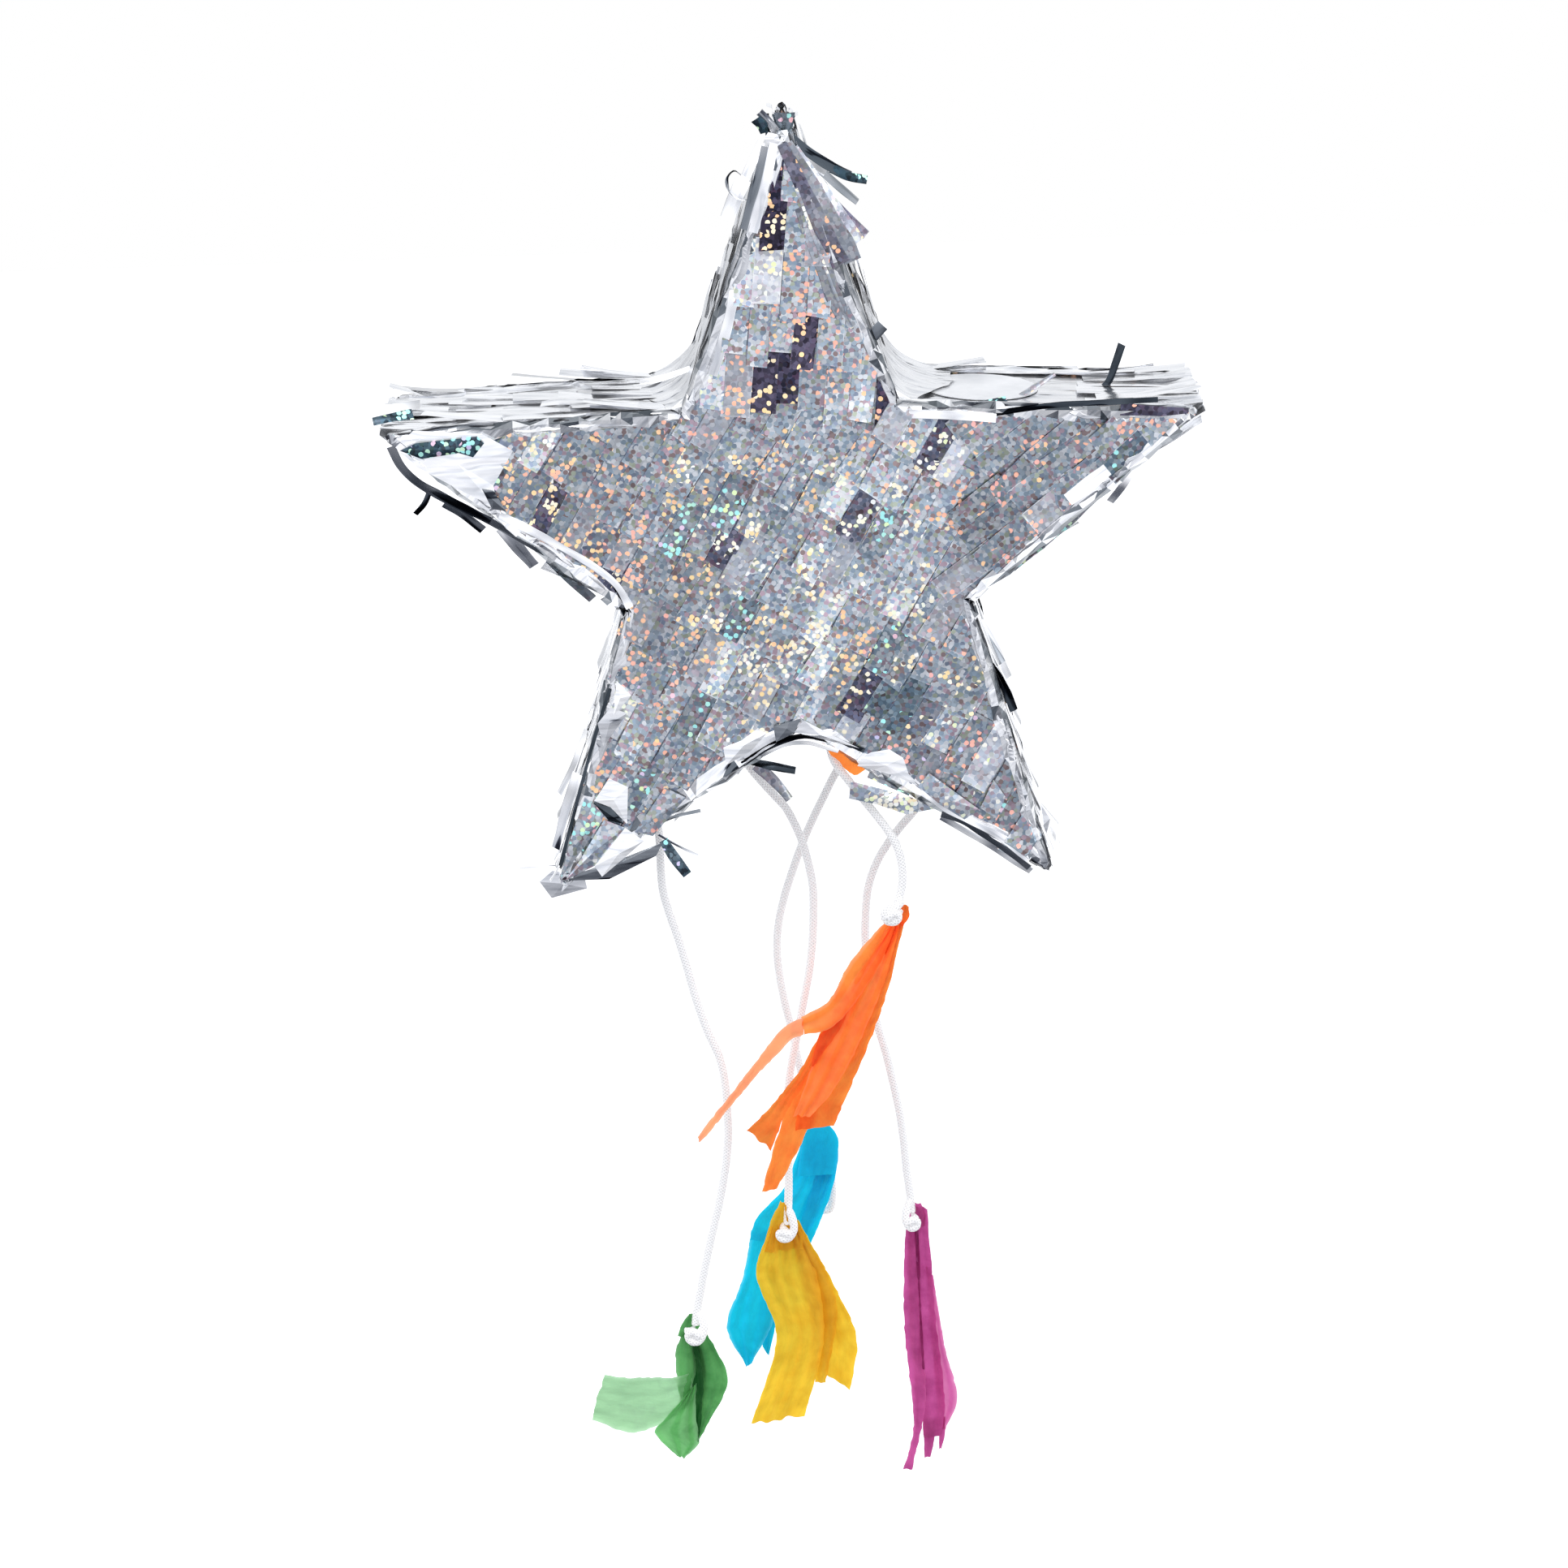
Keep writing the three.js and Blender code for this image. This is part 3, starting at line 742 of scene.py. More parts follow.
# Turns of cord round each tassel's neck, as offsets from the knot. The cyan cord's end hangs behind its tissue
# instead.
KNOTS = {
    "orange": [(3.8, -1, 7), (1.4, -3.2, 4.6), (-2.4, -4.2, 3.6), (-4.4, -4.2, 1.2), (-3.2, -4.6, -1.6),
               (0.4, -5, -1.8),
               (1.8, -5.2, 0.6), (-0.6, -6, 2.2), (-2.6, -6.2, 0.4), (0.2, -4.2, 0.2), (2.2, 0.5, 1.6),
               (-1, 3, 1)],
    "green": [(2, -1, 9), (4.2, -3.8, 4), (4, -5, 0), (1.6, -5.4, -3.6), (-1.6, -5.4, -3.4),
              (-2.8, -5.2, -0.8),
              (-0.4, -6, 1.4), (1.8, -6.2, -0.6), (0.4, -5, -1.6), (-3, -1, 0), (0, 3, 1)],
    "yellow": [(1, -2, 11), (3, -4.2, 5.4), (3, -4.9, 1), (0.6, -5.2, -2.4), (-2.4, -5, -2.6),
               (-3.6, -4.4, -0.6),
               (-1.6, -5.6, 0.6), (0.8, -5.8, -0.4), (-1.5, -0.5, 0.5), (-0.5, 3, 2)],
    "cyan": [(-1, 3, 10), (0.5, 4.8, 2), (1.5, 5, -8), (2.6, 5, -18), (2.9, 5, -26), (1.2, 5, -33),
             (-2, 4.8, -33),
             (-4, 4.6, -28)],
    "magenta": [(-0.7, -1, 9), (-2.7, -3.6, 4), (-3, -4.6, 0), (-1, -5.2, -3.2), (1.4, -5, -3),
                (2.2, -4.8, -0.6),
                (0, -5.8, 0.8), (-1.2, -5.6, -1), (1.6, -0.5, 0), (0, 3, 2)],
}
KNOT_RADIUS = 1.85
KNOT_STEP = 0.7
KNOT_SIDES = 16
KNOT_TAPER = 1.6


def cord_piece(name, node, colour, shape):
    """A piece of cord, made from a tube's points, faces and flat, in place of a CAD node."""
    pile = Pile()
    pile.add(*shape, (1, 0, 0))
    piece = pile.build(name + colour, cord_body(colour), "cord", BRAID, smooth=True)
    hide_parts(node + colour)
    return piece


def make_knot(colour):
    cord = CORDS[colour]
    centre = np.array([cord["knot"][0], cord["y"][1], cord["knot"][1]], float)
    path, _ = curve_through(centre + np.array(KNOTS[colour], float), KNOT_STEP)
    return cord_piece("tied_loop_", "outer_knot_", colour, tube(path, KNOT_RADIUS, KNOT_SIDES, KNOT_TAPER))


def make_cord(colour):
    path, length = curve_through(cord_route(colour), CORD_STEP)
    piece = cord_piece("braided_cord_", "cord_", colour, tube(path, CORD_RADIUS, CORD_SIDES))
    knot = make_knot(colour)


for colour in CORDS:
    make_cord(colour)


# ---------------------------------------------------------------- fringe on the front and back
FRINGE_PITCH = 22.0
FRINGE_LENGTH = (26, 33)
FRINGE_WIDTH = (8.5, 12.5)
FRINGE_LIFT, RAISED_LIFT = (0.5, 1.5), (3, 5.5)
RAISED_SHARE = 0.07
TURN_SPREAD, TILT_SPREAD, START_SPREAD, ROW_TONE_SPREAD = 0.035, 0.05, 1.6, 0.05
FRINGE_OVERLAP = (0.92, 1.02)  # the next strip's start, as a share of this one's width
FRINGE_ROWS = range(-9, 10)
FRINGE_CENTRE = np.array([0.0, CENTRE_Z + 3])
FOLD_OVER = 7.0  # the furthest that a strip folds over onto a wall
CLEAR_OF_CAD = 0.7  # the least height of a strip over the face
STRIP_COLUMNS = np.array([-0.5, -0.465, -0.25, 0.0, 0.25, 0.465, 0.5])[None, :]


TOP_ARM_Z, TOP_ARM_HALF = -112, 50
RIGHT_ARM_X, RIGHT_ARM_Z = 72, -205


def in_top(p):
    return p[1] > TOP_ARM_Z and abs(p[0]) < TOP_ARM_HALF


def in_right(p):
    return p[0] > RIGHT_ARM_X and p[1] > RIGHT_ARM_Z


def fringe_field(way, keep, rise):
    """Rows of strips over one area. way is where their free ends point. keep says which centres belong."""
    way = np.array(way, float)
    way /= np.linalg.norm(way)
    across = np.array([-way[1], way[0]])
    sheets = []
    for row in FRINGE_ROWS:
        offset = -FAR + rng.uniform(0, 10)
        row_tone = rng.normal(0, ROW_TONE_SPREAD)
        while offset < FAR:
            width = rng.uniform(*FRINGE_WIDTH)
            length = rng.uniform(*FRINGE_LENGTH)
            turn = rng.normal(0, TURN_SPREAD)
            lift = rng.uniform(*FRINGE_LIFT)
            if rng.uniform() < RAISED_SHARE:
                lift = rng.uniform(*RAISED_LIFT)
            tilt = rng.normal(0, TILT_SPREAD)
            jitter = rng.normal(0, START_SPREAD)
            seed = rng.uniform(0, 900, 2)
            draws = rng.uniform(0, 1, 4)
            root = FRINGE_CENTRE + way * (row * FRINGE_PITCH + jitter) + across * (offset + width / 2)
            middle = root + way * length * 0.5
            offset += width * rng.uniform(*FRINGE_OVERLAP)
            if keep(middle) and star_distance(root + way * length * 0.45)[0][0] <= 1.0:
                form = (root, middle, way, across, width, length, turn, lift, tilt, rise)
                sheets.append((form, seed, draws, row_tone))
    return sheets


MIDDLE_RADIUS = 62
LEFT_ARM_X = -62
LEGS_Z = -225


def strip_tone(middle, draws, row_tone):
    """Tone, share of dots with painted glints and the glints' hue of one strip, by where it is on the star and
    by its own draws.
    """
    x, z = middle
    patch = noise(x / 48.0 + 7.1, z / 48.0 + 3.3)
    warm = noise(x / 40.0 + 20.4, z / 40.0 + 11.9)
    tone = 0.86 + row_tone + 0.20 * (draws[0] - 0.5) + 0.10 * patch
    glint = 0.16 + 0.10 * warm
    hue = 0.24 + 0.10 * warm + 0.06 * (draws[3] - 0.5)
    if in_top(middle):
        if draws[1] < 0.40:
            tone = 0.12 + 0.14 * draws[2]
            glint, hue = 0.25, 0.27 + 0.22 * draws[3]
        else:
            tone = 0.84 + 0.25 * draws[2]
            glint, hue = 0.17, 0.22
    elif math.hypot(x, z - CENTRE_Z) < MIDDLE_RADIUS:
        tone += 0.06
        glint, hue = 0.27, 0.42 + 0.30 * (draws[3] - 0.4)
    elif x < LEFT_ARM_X:
        glint, hue = 0.24, 0.28 + 0.12 * (draws[3] - 0.5)
    elif in_right(middle):
        tone -= 0.10
        glint, hue = 0.11 + 0.10 * (draws[3] > 0.6), 0.2
    elif z < LEGS_Z:
        tone -= 0.06
        glint, hue = 0.11 + 0.08 * (draws[3] > 0.7), 0.13 + 0.38 * (draws[3] > 0.75)
    # A few strips are far brighter than the rest, and a few outside the top arm are darker.
    if draws[1] > 0.93:
        tone += 0.55
        glint, hue = glint + 0.05, 0.62
    elif draws[1] > 0.89 and not in_top(middle):
        tone *= 0.45
        glint, hue = glint + 0.10, 0.46 + 0.30 * (draws[3] - 0.3)
    elif draws[1] > 0.83 and not in_top(middle):
        tone *= 0.72
        hue = 0.92
    return tone, glint, hue


def lay_strip(pile, sheet, side):
    """One strip of fringe, without the faces that would reach further than FOLD_OVER past the star's edge."""
    form, seed, draws, row_tone = sheet
    root, middle, way, across, width, length, turn, lift, tilt, rise = form
    rows = max(8, int(length / 2.2))
    u = STRIP_COLUMNS
    columns = u.shape[1]
    t = np.concatenate([np.linspace(0, 0.97, rows - 1), [1.0]])[:, None]
    skew = (draws[2] - 0.5) * 2.4
    run = length * t + 0 * u + skew * u * t
    p = (root + run[..., None] * way + (u * width + turn * run)[..., None] * across).reshape(-1, 2)
    distance = star_distance(p)[0]
    if distance.min() > 0:
        return
    height = 0.75 + rise + 0.25 * draws[3] + lift * np.clip((t - 0.25) / 0.75, 0, 1) ** 1.5 * np.ones_like(u)
    height = height + tilt * u * width * t
    height = height + 0.28 * noise(run / 6.0 + seed[0], u * 2.2 + seed[1]) * t
    points = wrap(p, np.maximum(height, CLEAR_OF_CAD + rise).reshape(-1), side)
    keep_point = distance.reshape(rows, columns) <= FOLD_OVER
    index = np.arange(rows * columns).reshape(rows, columns)
    faces = [
        (index[r, c], index[r, c + 1], index[r + 1, c + 1], index[r + 1, c])
        for r in range(rows - 1)
        for c in range(columns - 1)
        if keep_point[r : r + 2, c : c + 2].all()
    ]
    if not faces:
        return
    used = np.unique(np.array(faces))
    rename = -np.ones(rows * columns, int)
    rename[used] = np.arange(len(used))
    faces = [tuple(int(rename[k]) for k in face)[::-side] for face in faces]
    washed = 0.55 * (draws[0] > 0.72) if in_top(middle) else 0.4 * (draws[0] > 0.85)
    flat_xy = np.stack([run + seed[0], u * width + 0 * t + seed[1]], -1)
    flat = np.dstack([flat_xy, np.full((rows, columns), washed)]).reshape(-1, 3)
    # Painted highlight and shade: the long sides of a strip are brighter or darker than its middle, and its
    # free end is brighter.
    shade = np.ones((rows, columns))
    shade[:, 0] = 1.5 - 1.1 * (draws[2] > 0.55)
    shade[:, -1] = 0.55 + 1.0 * (draws[3] > 0.6)
    shade[-1] *= 1.25
    tone, glint, hue = strip_tone(middle, draws, row_tone)
    strip = np.stack([tone * shade, np.full_like(shade, glint), np.full_like(shade, hue)], -1).reshape(-1, 3)
    pile.add(points[used], faces, flat[used], strip[used])


# Which strips belong to each area, the way that their free ends point, and how far they stand above the rest.
FRINGE_AREAS = {
    "body": (lambda p: not in_top(p) and not in_right(p), (-0.53, -0.85), 0.0),
    "right_arm": (in_right, (-0.79, -0.62), 0.5),
    "top_arm": (in_top, (-0.10, -1.0), 0.5),
}


def make_fringe(side, name):
    for label, (keep, way, rise) in FRINGE_AREAS.items():
        pile = Pile()
        for sheet in fringe_field(way, keep, rise):
            lay_strip(pile, sheet, side)
        pile.build(f"fringe_{name}_{label}", "star", "holographic_foil", HOLO)


make_fringe(-1, "front")
make_fringe(1, "back")


# ---------------------------------------------------------------- crumpled rims
RIM_WIDTH = 2.6
# How far the crumpled rim comes onto the face, where it is broader than RIM_WIDTH.
BROAD_RIMS = {
    "leg_left_inner": 5.0,
    "leg_right_inner": 4.0,
    "top_left": 4.2,
    "left_lower": 3.4,
    "leg_left_outer": 3.4,
}
RIM_STEP = 1.6
RIM_COLUMNS = 9
RIM_OVERRUN = 1.5  # how far a rim runs on past each end of its edge
WINDOW_MARGIN = 2
RIM_Y_AT_DOOR = DOOR_FRONT - 0.6  # beside the window the rim stays in front of the trapdoor


def make_rims():
    """A band of creased mirror film over each long edge, front and back."""
    count = int(EDGE_LENGTH / RIM_STEP)
    s = np.linspace(-RIM_OVERRUN, EDGE_LENGTH + RIM_OVERRUN, count)
    u = np.linspace(0, 1, RIM_COLUMNS)
    for wall, label in enumerate(WALLS):
        pile = Pile()
        for side in (-1, 1):
            seed = rng.uniform(0, 50, 4)
            broad = BROAD_RIMS.get(label, RIM_WIDTH)
            waver = 0.6 * broad * noise(s / 14 + seed[0], 0.5)
            face_width = np.clip(broad + waver + 1.2 * noise(s / 4 + seed[1], 1.5), 0.7, 9)
            wall_width = 9 + 3 * noise(s / 18 + seed[2], 2.5)
            offset = -face_width[:, None] + (face_width + wall_width)[:, None] * u[None] ** 1.25
            line = CORNERS[wall] + s[:, None] * EDGE_ALONG[wall]
            p = line[:, None] + offset[..., None] * EDGE_OUT[wall]
            ridge = 1 - np.abs(noise(s[:, None] / 24 + seed[3], offset / 5.0 + seed[0]))
            fine = noise(s[:, None] / 9.0 + seed[1], offset / 3.5 + seed[2])
            height = 0.9 + 1.5 * ridge**2 * (0.3 + 0.7 * np.sin(math.pi * u)[None]) + 0.3 * fine
            edge_fade = np.minimum(1, np.minimum(u, 1 - u) * 8)[None]
            height = 0.75 + (height - 0.4) * edge_fade
            grid = wrap(p.reshape(-1, 2), height.reshape(-1), side).reshape(count, RIM_COLUMNS, 3)
            if wall == DOOR_WALL and side < 0:
                beside = (s > DOOR_START - WINDOW_MARGIN) & (s < WINDOW_END + WINDOW_MARGIN)
                grid[beside, :, 1] = np.minimum(grid[beside, :, 1], RIM_Y_AT_DOOR)
            if side > 0:
                grid = grid[:, ::-1]
            flat_xy = np.stack([s[:, None] * 1.2 + 0 * u[None] + seed[0] * 9, offset * 0.8], -1)
            # Painted shade: a dark crease runs just outside the edge. The band's face side, brighter and
            # glowing a little above tone 1, is a painted highlight.
            width_here = 1.7 + 0.9 * noise(s[:, None] / 11 + seed[2], 4.5)
            painted_crease_shade = np.exp(-(((offset - 1.2) / width_here) ** 2))
            strip = np.stack([1.12 - 0.75 * painted_crease_shade, -0.04 + 0.22 * painted_crease_shade, 0 * painted_crease_shade], -1)
            strip = strip[:, ::-1] if side > 0 else strip
            pile.grid(grid, flat_xy, strip, seed[1])
        pile.build("rim_" + label, "star", "mirror_foil", MIRROR)


make_rims()

# Painted light on the facets: mostly bright tones, glowing above 1, on the face side of the crumpled edge and
# mostly darker painted shade on its outer side, and each tone's share.
FACET_PAINTED_LIGHT = [(1.42, 1.3, 1.1, 0.7, 0.3), (0.14, 0.28, 0.45, 0.9, 1.25)]
FACET_SHARES = [(0.36, 0.24, 0.18, 0.12, 0.10), (0.30, 0.25, 0.20, 0.15, 0.10)]


def make_crumpled_edges(side, name):
    """Sharp facets of film creased over the long edges of the front (side -1) or the back, each with its own
    painted highlight or shade.
    """
    draw = np.random.default_rng(29 + side)
    pile = Pile()
    for wall, label in enumerate(WALLS):
        width = BROAD_RIMS.get(label, RIM_WIDTH) + 1.2
        hangs = EDGE_OUT[wall][1] < -0.2
        cuts = np.cumsum(draw.uniform(3.5, 10, 40))
        rows = []
        for distance in cuts[cuts < EDGE_LENGTH - 1]:
            fade = min(1, distance / 12, (EDGE_LENGTH - distance) / 14)
            inner, edge = -width * draw.uniform(0.4, 1.2) * fade, draw.uniform(0.1, 1.1)
            offsets = (inner, edge, draw.uniform(1.4, 3.0) + 1.4 * hangs)
            depths = (draw.uniform(0.9, 1.5), draw.uniform(1.5, 2.6), -draw.uniform(2, 4))
            at = CORNERS[wall] + (distance + draw.uniform(-1.5, 1.5)) * EDGE_ALONG[wall]
            places = [at + offset * EDGE_OUT[wall] for offset in offsets]
            rows.append([(x, side * (FACE + depth), z) for (x, z), depth in zip(places, depths)])
        for here, there in zip(rows, rows[1:]):
            for column in (0, 1):
                quad = [here[column], here[column + 1], there[column + 1], there[column]]
                halves = ((0, 1, 2), (0, 2, 3)) if draw.uniform() < 0.5 else ((0, 1, 3), (1, 2, 3))
                for half in halves:
                    tone = draw.choice(FACET_PAINTED_LIGHT[column], p=FACET_SHARES[column])
                    points = np.array([quad[k] for k in half])
                    x, z = points[:, 0], points[:, 2]
                    flat = np.column_stack([x + z, x - z, [wall] * 3])
                    pile.add(points, [(0, 1, 2)], flat, (tone, -0.07 if tone > 0.6 else 0.0, 0))
    pile.build("crumpled_edges_" + name, "star", "mirror_foil", MIRROR)


make_crumpled_edges(-1, "front")
make_crumpled_edges(1, "back")


# ---------------------------------------------------------------- strips along the walls
STICKER_WALL, STICKER_AT = WALLS.index("right_upper"), 37
STICKER_Y, STICKER_RADIUS = 2, 25
WALL_ROW_PITCH = 27
WALL_ROWS = range(-1, 5)
WALL_STRIP_WIDTH = (8, 14)
WALL_STRIP_LENGTH = (38, 56)
WALL_LIFT, RAISED_WALL_LIFT = (0.5, 3.5), (4, 7)
RAISED_WALL_SHARE = 0.15
SHORTEST = 14
HALF_DEPTH = 37.5  # the strips stay within the faces
LIFT_BY_DOOR = 3.2  # the most that a strip on the trapdoor's wall stands off
HOLE_MARGIN = (6, 5)  # clear foil round each cord hole, along the wall and across it


def wall_strip(pile, wall, start, length, y, width, lift, seed, draws, reach):
    """One strip of mirror film along a wall. reach is how far it may run past the end of the wall."""
    t = np.linspace(0, 1, max(8, int(length / 3)))[:, None]
    u = np.linspace(-0.5, 0.5, 5)[None]
    s = start + length * t + 0 * u + (draws[0] - 0.5) * 5 * u * t
    s = np.minimum(s, EDGE_LENGTH + reach)
    yy = y + u * width + (draws[1] - 0.5) * 5 * t + 0.6 * noise(t * 3 + seed, 1.3)
    height = 0.8 + 0.4 * draws[2] + lift * t**1.6 + 1.1 * np.cos(u * 2.6 + draws[3]) * t * 0.5
    height = height + 0.7 * noise(s / 16 + seed, u * 1.2 + seed) * (0.3 + t)
    height = np.maximum(height, 0.6 + 0.3 * draws[2])
    if wall == DOOR_WALL:
        height = np.minimum(height, LIFT_BY_DOOR)
    xz = on_wall(wall, s, -height)
    points = np.dstack([xz[..., 0], np.clip(yy, -HALF_DEPTH, HALF_DEPTH), xz[..., 1]])
    flat_xy = np.stack([s + seed * 31, yy + seed * 17], -1)
    tone = 0.96 + 0.12 * draws[3]
    if draws[1] > 0.92:
        tone *= 0.7
    pile.grid(points, flat_xy, (tone, -0.04, 0), seed)


def is_covered(wall, start, length, y, width):
    """Whether a strip would lie over the trapdoor, the sticker or a cord's hole."""
    on_door = wall == DOOR_WALL and y < DOOR_BACK + width / 2 + 3 and start < WINDOW_END + 1
    past_sticker = STICKER_AT + STICKER_RADIUS + 2
    across_sticker = abs(y - STICKER_Y) < width / 2 + STICKER_RADIUS
    on_sticker = wall == STICKER_WALL and start < past_sticker and across_sticker
    along, beside = HOLE_MARGIN
    by_hole = any(
        start - along < cord["at"] < start + length + along and abs(y - cord["y"][0]) < width / 2 + beside
        for cord in CORDS.values()
        if cord["wall"] == wall
    )
    return on_door or on_sticker or by_hole


def make_wall_strips():
    for wall, label in enumerate(WALLS):
        pile = Pile()
        reach = -1.0 if label.startswith("top") else 5.0
        for row in WALL_ROWS:
            y = -35.0 + rng.uniform(0, 5)
            while y < 35:
                width = rng.uniform(*WALL_STRIP_WIDTH)
                length = rng.uniform(*WALL_STRIP_LENGTH)
                start = max(row * WALL_ROW_PITCH + rng.normal(0, 3), 1.0)
                lift = rng.uniform(*WALL_LIFT)
                if rng.uniform() < RAISED_WALL_SHARE:
                    lift = rng.uniform(*RAISED_WALL_LIFT)
                seed = rng.uniform(0, 60)
                draws = rng.uniform(0, 1, 4)
                centre_y = y + width / 2
                y += width * rng.uniform(0.85, 1.0)
                length = min(length, EDGE_LENGTH + 4 - start)
                if length >= SHORTEST and not is_covered(wall, start, length, centre_y, width):
                    wall_strip(pile, wall, start, length, centre_y, width, lift, seed, draws, reach)
        pile.build("strips_" + label, "star", "mirror_foil", MIRROR)


make_wall_strips()

DOOR_ROWS = ((56, 26), (34, 22))  # where each row of strips starts on the flap, and its length
DOOR_STRIPS_Y = (-26.5, -18.5, -10.5, -2.8)
DOOR_STRIP_WIDTH = 7.4
PULL_Y, PULL_MARGIN = -24, 9
PULL_CLEAR, PULL_STOP = 23, 24  # strips near the pull cord stop at PULL_STOP from the notch


def make_door_strips():
    """The trapdoor's own foil strips, which stay inside its outline."""
    pile = Pile()
    t = np.linspace(0, 1, 9)[:, None]
    u = np.linspace(-0.5, 0.5, 5)[None]
    for row_start, length in DOOR_ROWS:
        for y in DOOR_STRIPS_Y:
            seed = rng.uniform(0, 60)
            draws = rng.uniform(0, 1, 4)
            near_cord = abs(y - PULL_Y) < PULL_MARGIN and row_start - length < PULL_CLEAR
            reach = min(length, row_start - PULL_STOP) if near_cord else length
            s = row_start + 3 - reach * t + 0 * u
            height = 0.5 + 1.6 * draws[2] * t**1.5 + 0.25 * noise(s / 5 + seed, u * 2 + seed)
            xz = on_wall(DOOR_WALL, s, -np.maximum(height, 0.35))
            yy = y + u * DOOR_STRIP_WIDTH + 0 * t
            points = np.dstack([xz[..., 0], yy, xz[..., 1]])
            pile.grid(points, np.stack([s + seed * 31, yy], -1), (0.9, 0, 0), seed)
    pile.build("strips_trapdoor", "trapdoor", "mirror_foil", MIRROR)


make_door_strips()

# How far each bridge reaches along its two walls, in front and at the back.
BRIDGE_SPANS = {9: (6, 25), 1: (6, 25), 3: (4, 9), 5: (4.5, 7.0), 7: (4, 9)}
BRIDGE_ROWS, BRIDGE_COLUMNS = 26, 34
BRIDGE_HALF_DEPTH = 36.5


def make_notch_bridges():
    """Foil that bridges each notch in a curve from wall to wall, wider towards the back of the deep ones."""
    y = np.linspace(-BRIDGE_HALF_DEPTH, BRIDGE_HALF_DEPTH, BRIDGE_COLUMNS)
    t = np.linspace(0, 1, BRIDGE_ROWS)[:, None]
    yy = np.broadcast_to(y, (BRIDGE_ROWS, BRIDGE_COLUMNS))
    for notch, (near, far) in BRIDGE_SPANS.items():
        pile = Pile()
        before, after = notch - 1, notch
        depth = np.clip((y + 38) / 50, 0, 1)
        reach = near + (far - near) * depth * depth * (3 - 2 * depth)
        reach = reach + (0.06 * far) * noise(y / 5 + notch, 0.4)
        rise = 1.0 + 0.9 * noise(t * 2.2 + notch, y[None] / 6 + notch) * np.sin(math.pi * t)
        start = on_wall(before, reach, -0.7)[None]
        end = on_wall(after, reach, -0.7)[None]
        corner_at = CORNERS[notch]
        past = t[..., None]
        blend = (1 - past) ** 2 * start + 2 * ((1 - past) * past) * corner_at + past**2 * end
        out = np.array([corner_at[0], corner_at[1] - CENTRE_Z])
        out /= np.linalg.norm(out)
        xz = blend + rise[..., None] * out
        run = (t - 0.5) * 2 * reach[None]
        flat_xy = np.stack([run * 1.6, yy * 1.3], -1)
        pile.grid(np.dstack([xz[..., 0], yy, xz[..., 1]]), flat_xy, (0.95, 0.02, 0), notch * 3.1)
        pile.build(f"notch_bridge_{WALLS[before]}", "star", "mirror_foil", MIRROR, smooth=True)


make_notch_bridges()


# ---------------------------------------------------------------- loose foil ends
RIBBON_COLUMNS = np.array([-0.5, -0.44, -0.15, 0.15, 0.44, 0.5])
RIBBON_SHADES = np.array([1.3, 1, 1, 1, 1, 0.5])  # one long side catches the light, and the other is in shade


def ribbon(pile, line, width, facing, strip, twist=0.0, curl=0.0, taper=1.0, seed=0.0, step=1.6):
    """A free strip of foil along a line of points (X, Y, Z) in mm. facing is the way its flat side looks.

    twist (radians) and curl (mm) grow along the strip, taper is its end width as a share of its start, and
    seed picks its noise.
    """
    path, length = curve_through(line, step)
    tangent = np.gradient(path, axis=0)
    tangent /= np.linalg.norm(tangent, axis=1)[:, None]
    facing = np.array(facing, float)
    side = np.cross(tangent, facing)
    side /= np.linalg.norm(side, axis=1)[:, None]
    normal = np.cross(side, tangent)
    t = np.linspace(0, 1, len(path))
    angle = twist * t
    across = np.cos(angle)[:, None] * side + np.sin(angle)[:, None] * normal
    out = -np.sin(angle)[:, None] * side + np.cos(angle)[:, None] * normal
    u = RIBBON_COLUMNS
    wide = width * (1 + (taper - 1) * t) * (1 + 0.22 * noise(t * length / 10 + seed, 8.5))
    grid = path[:, None] + (u[None] * wide[:, None])[..., None] * across[:, None]
    wrinkle = 0.25 * noise(t[:, None] * length / 9 + seed, u[None] * 1.2 + seed)
    bend = curl * (1 - 4 * u**2)[None] * t[:, None] + wrinkle
    grid = grid + bend[..., None] * out[:, None]
    run = t[:, None] * length + seed * 13 + 0 * u[None]
    flat_xy = np.stack([run, u[None] * wide[:, None] + seed * 7], -1)
    shade = RIBBON_SHADES * (1 + 0.45 * noise(t * length / 9 + seed, 5.5))[:, None]
    tone, glint, hue = strip
    pile.grid(grid, flat_xy, np.stack([tone * shade, glint + 0 * shade, hue + 0 * shade], -1), seed)


PLATE_DISH = 0.8


def plate(pile, outline, y, strip, seed):
    """A torn flat piece of foil with sharp corners, given by its outline (X, Z), a little dished."""
    outline = np.array(outline, float)
    middle = outline.mean(0)
    depth = y + 0.7 * noise(outline[:, 0] / 7 + seed, outline[:, 1] / 7)
    points = np.column_stack([outline[:, 0], depth, outline[:, 1]])
    points = np.vstack([points, [middle[0], y - PLATE_DISH, middle[1]]])
    count = len(outline)
    faces = [(k, (k + 1) % count, count) for k in range(count)]
    flat = np.column_stack([points[:, 0] + 11 * seed, points[:, 2], np.full(count + 1, pile.third(seed))])
    pile.add(points, faces, flat, strip)


FRONT = (0, -1, 0.1)
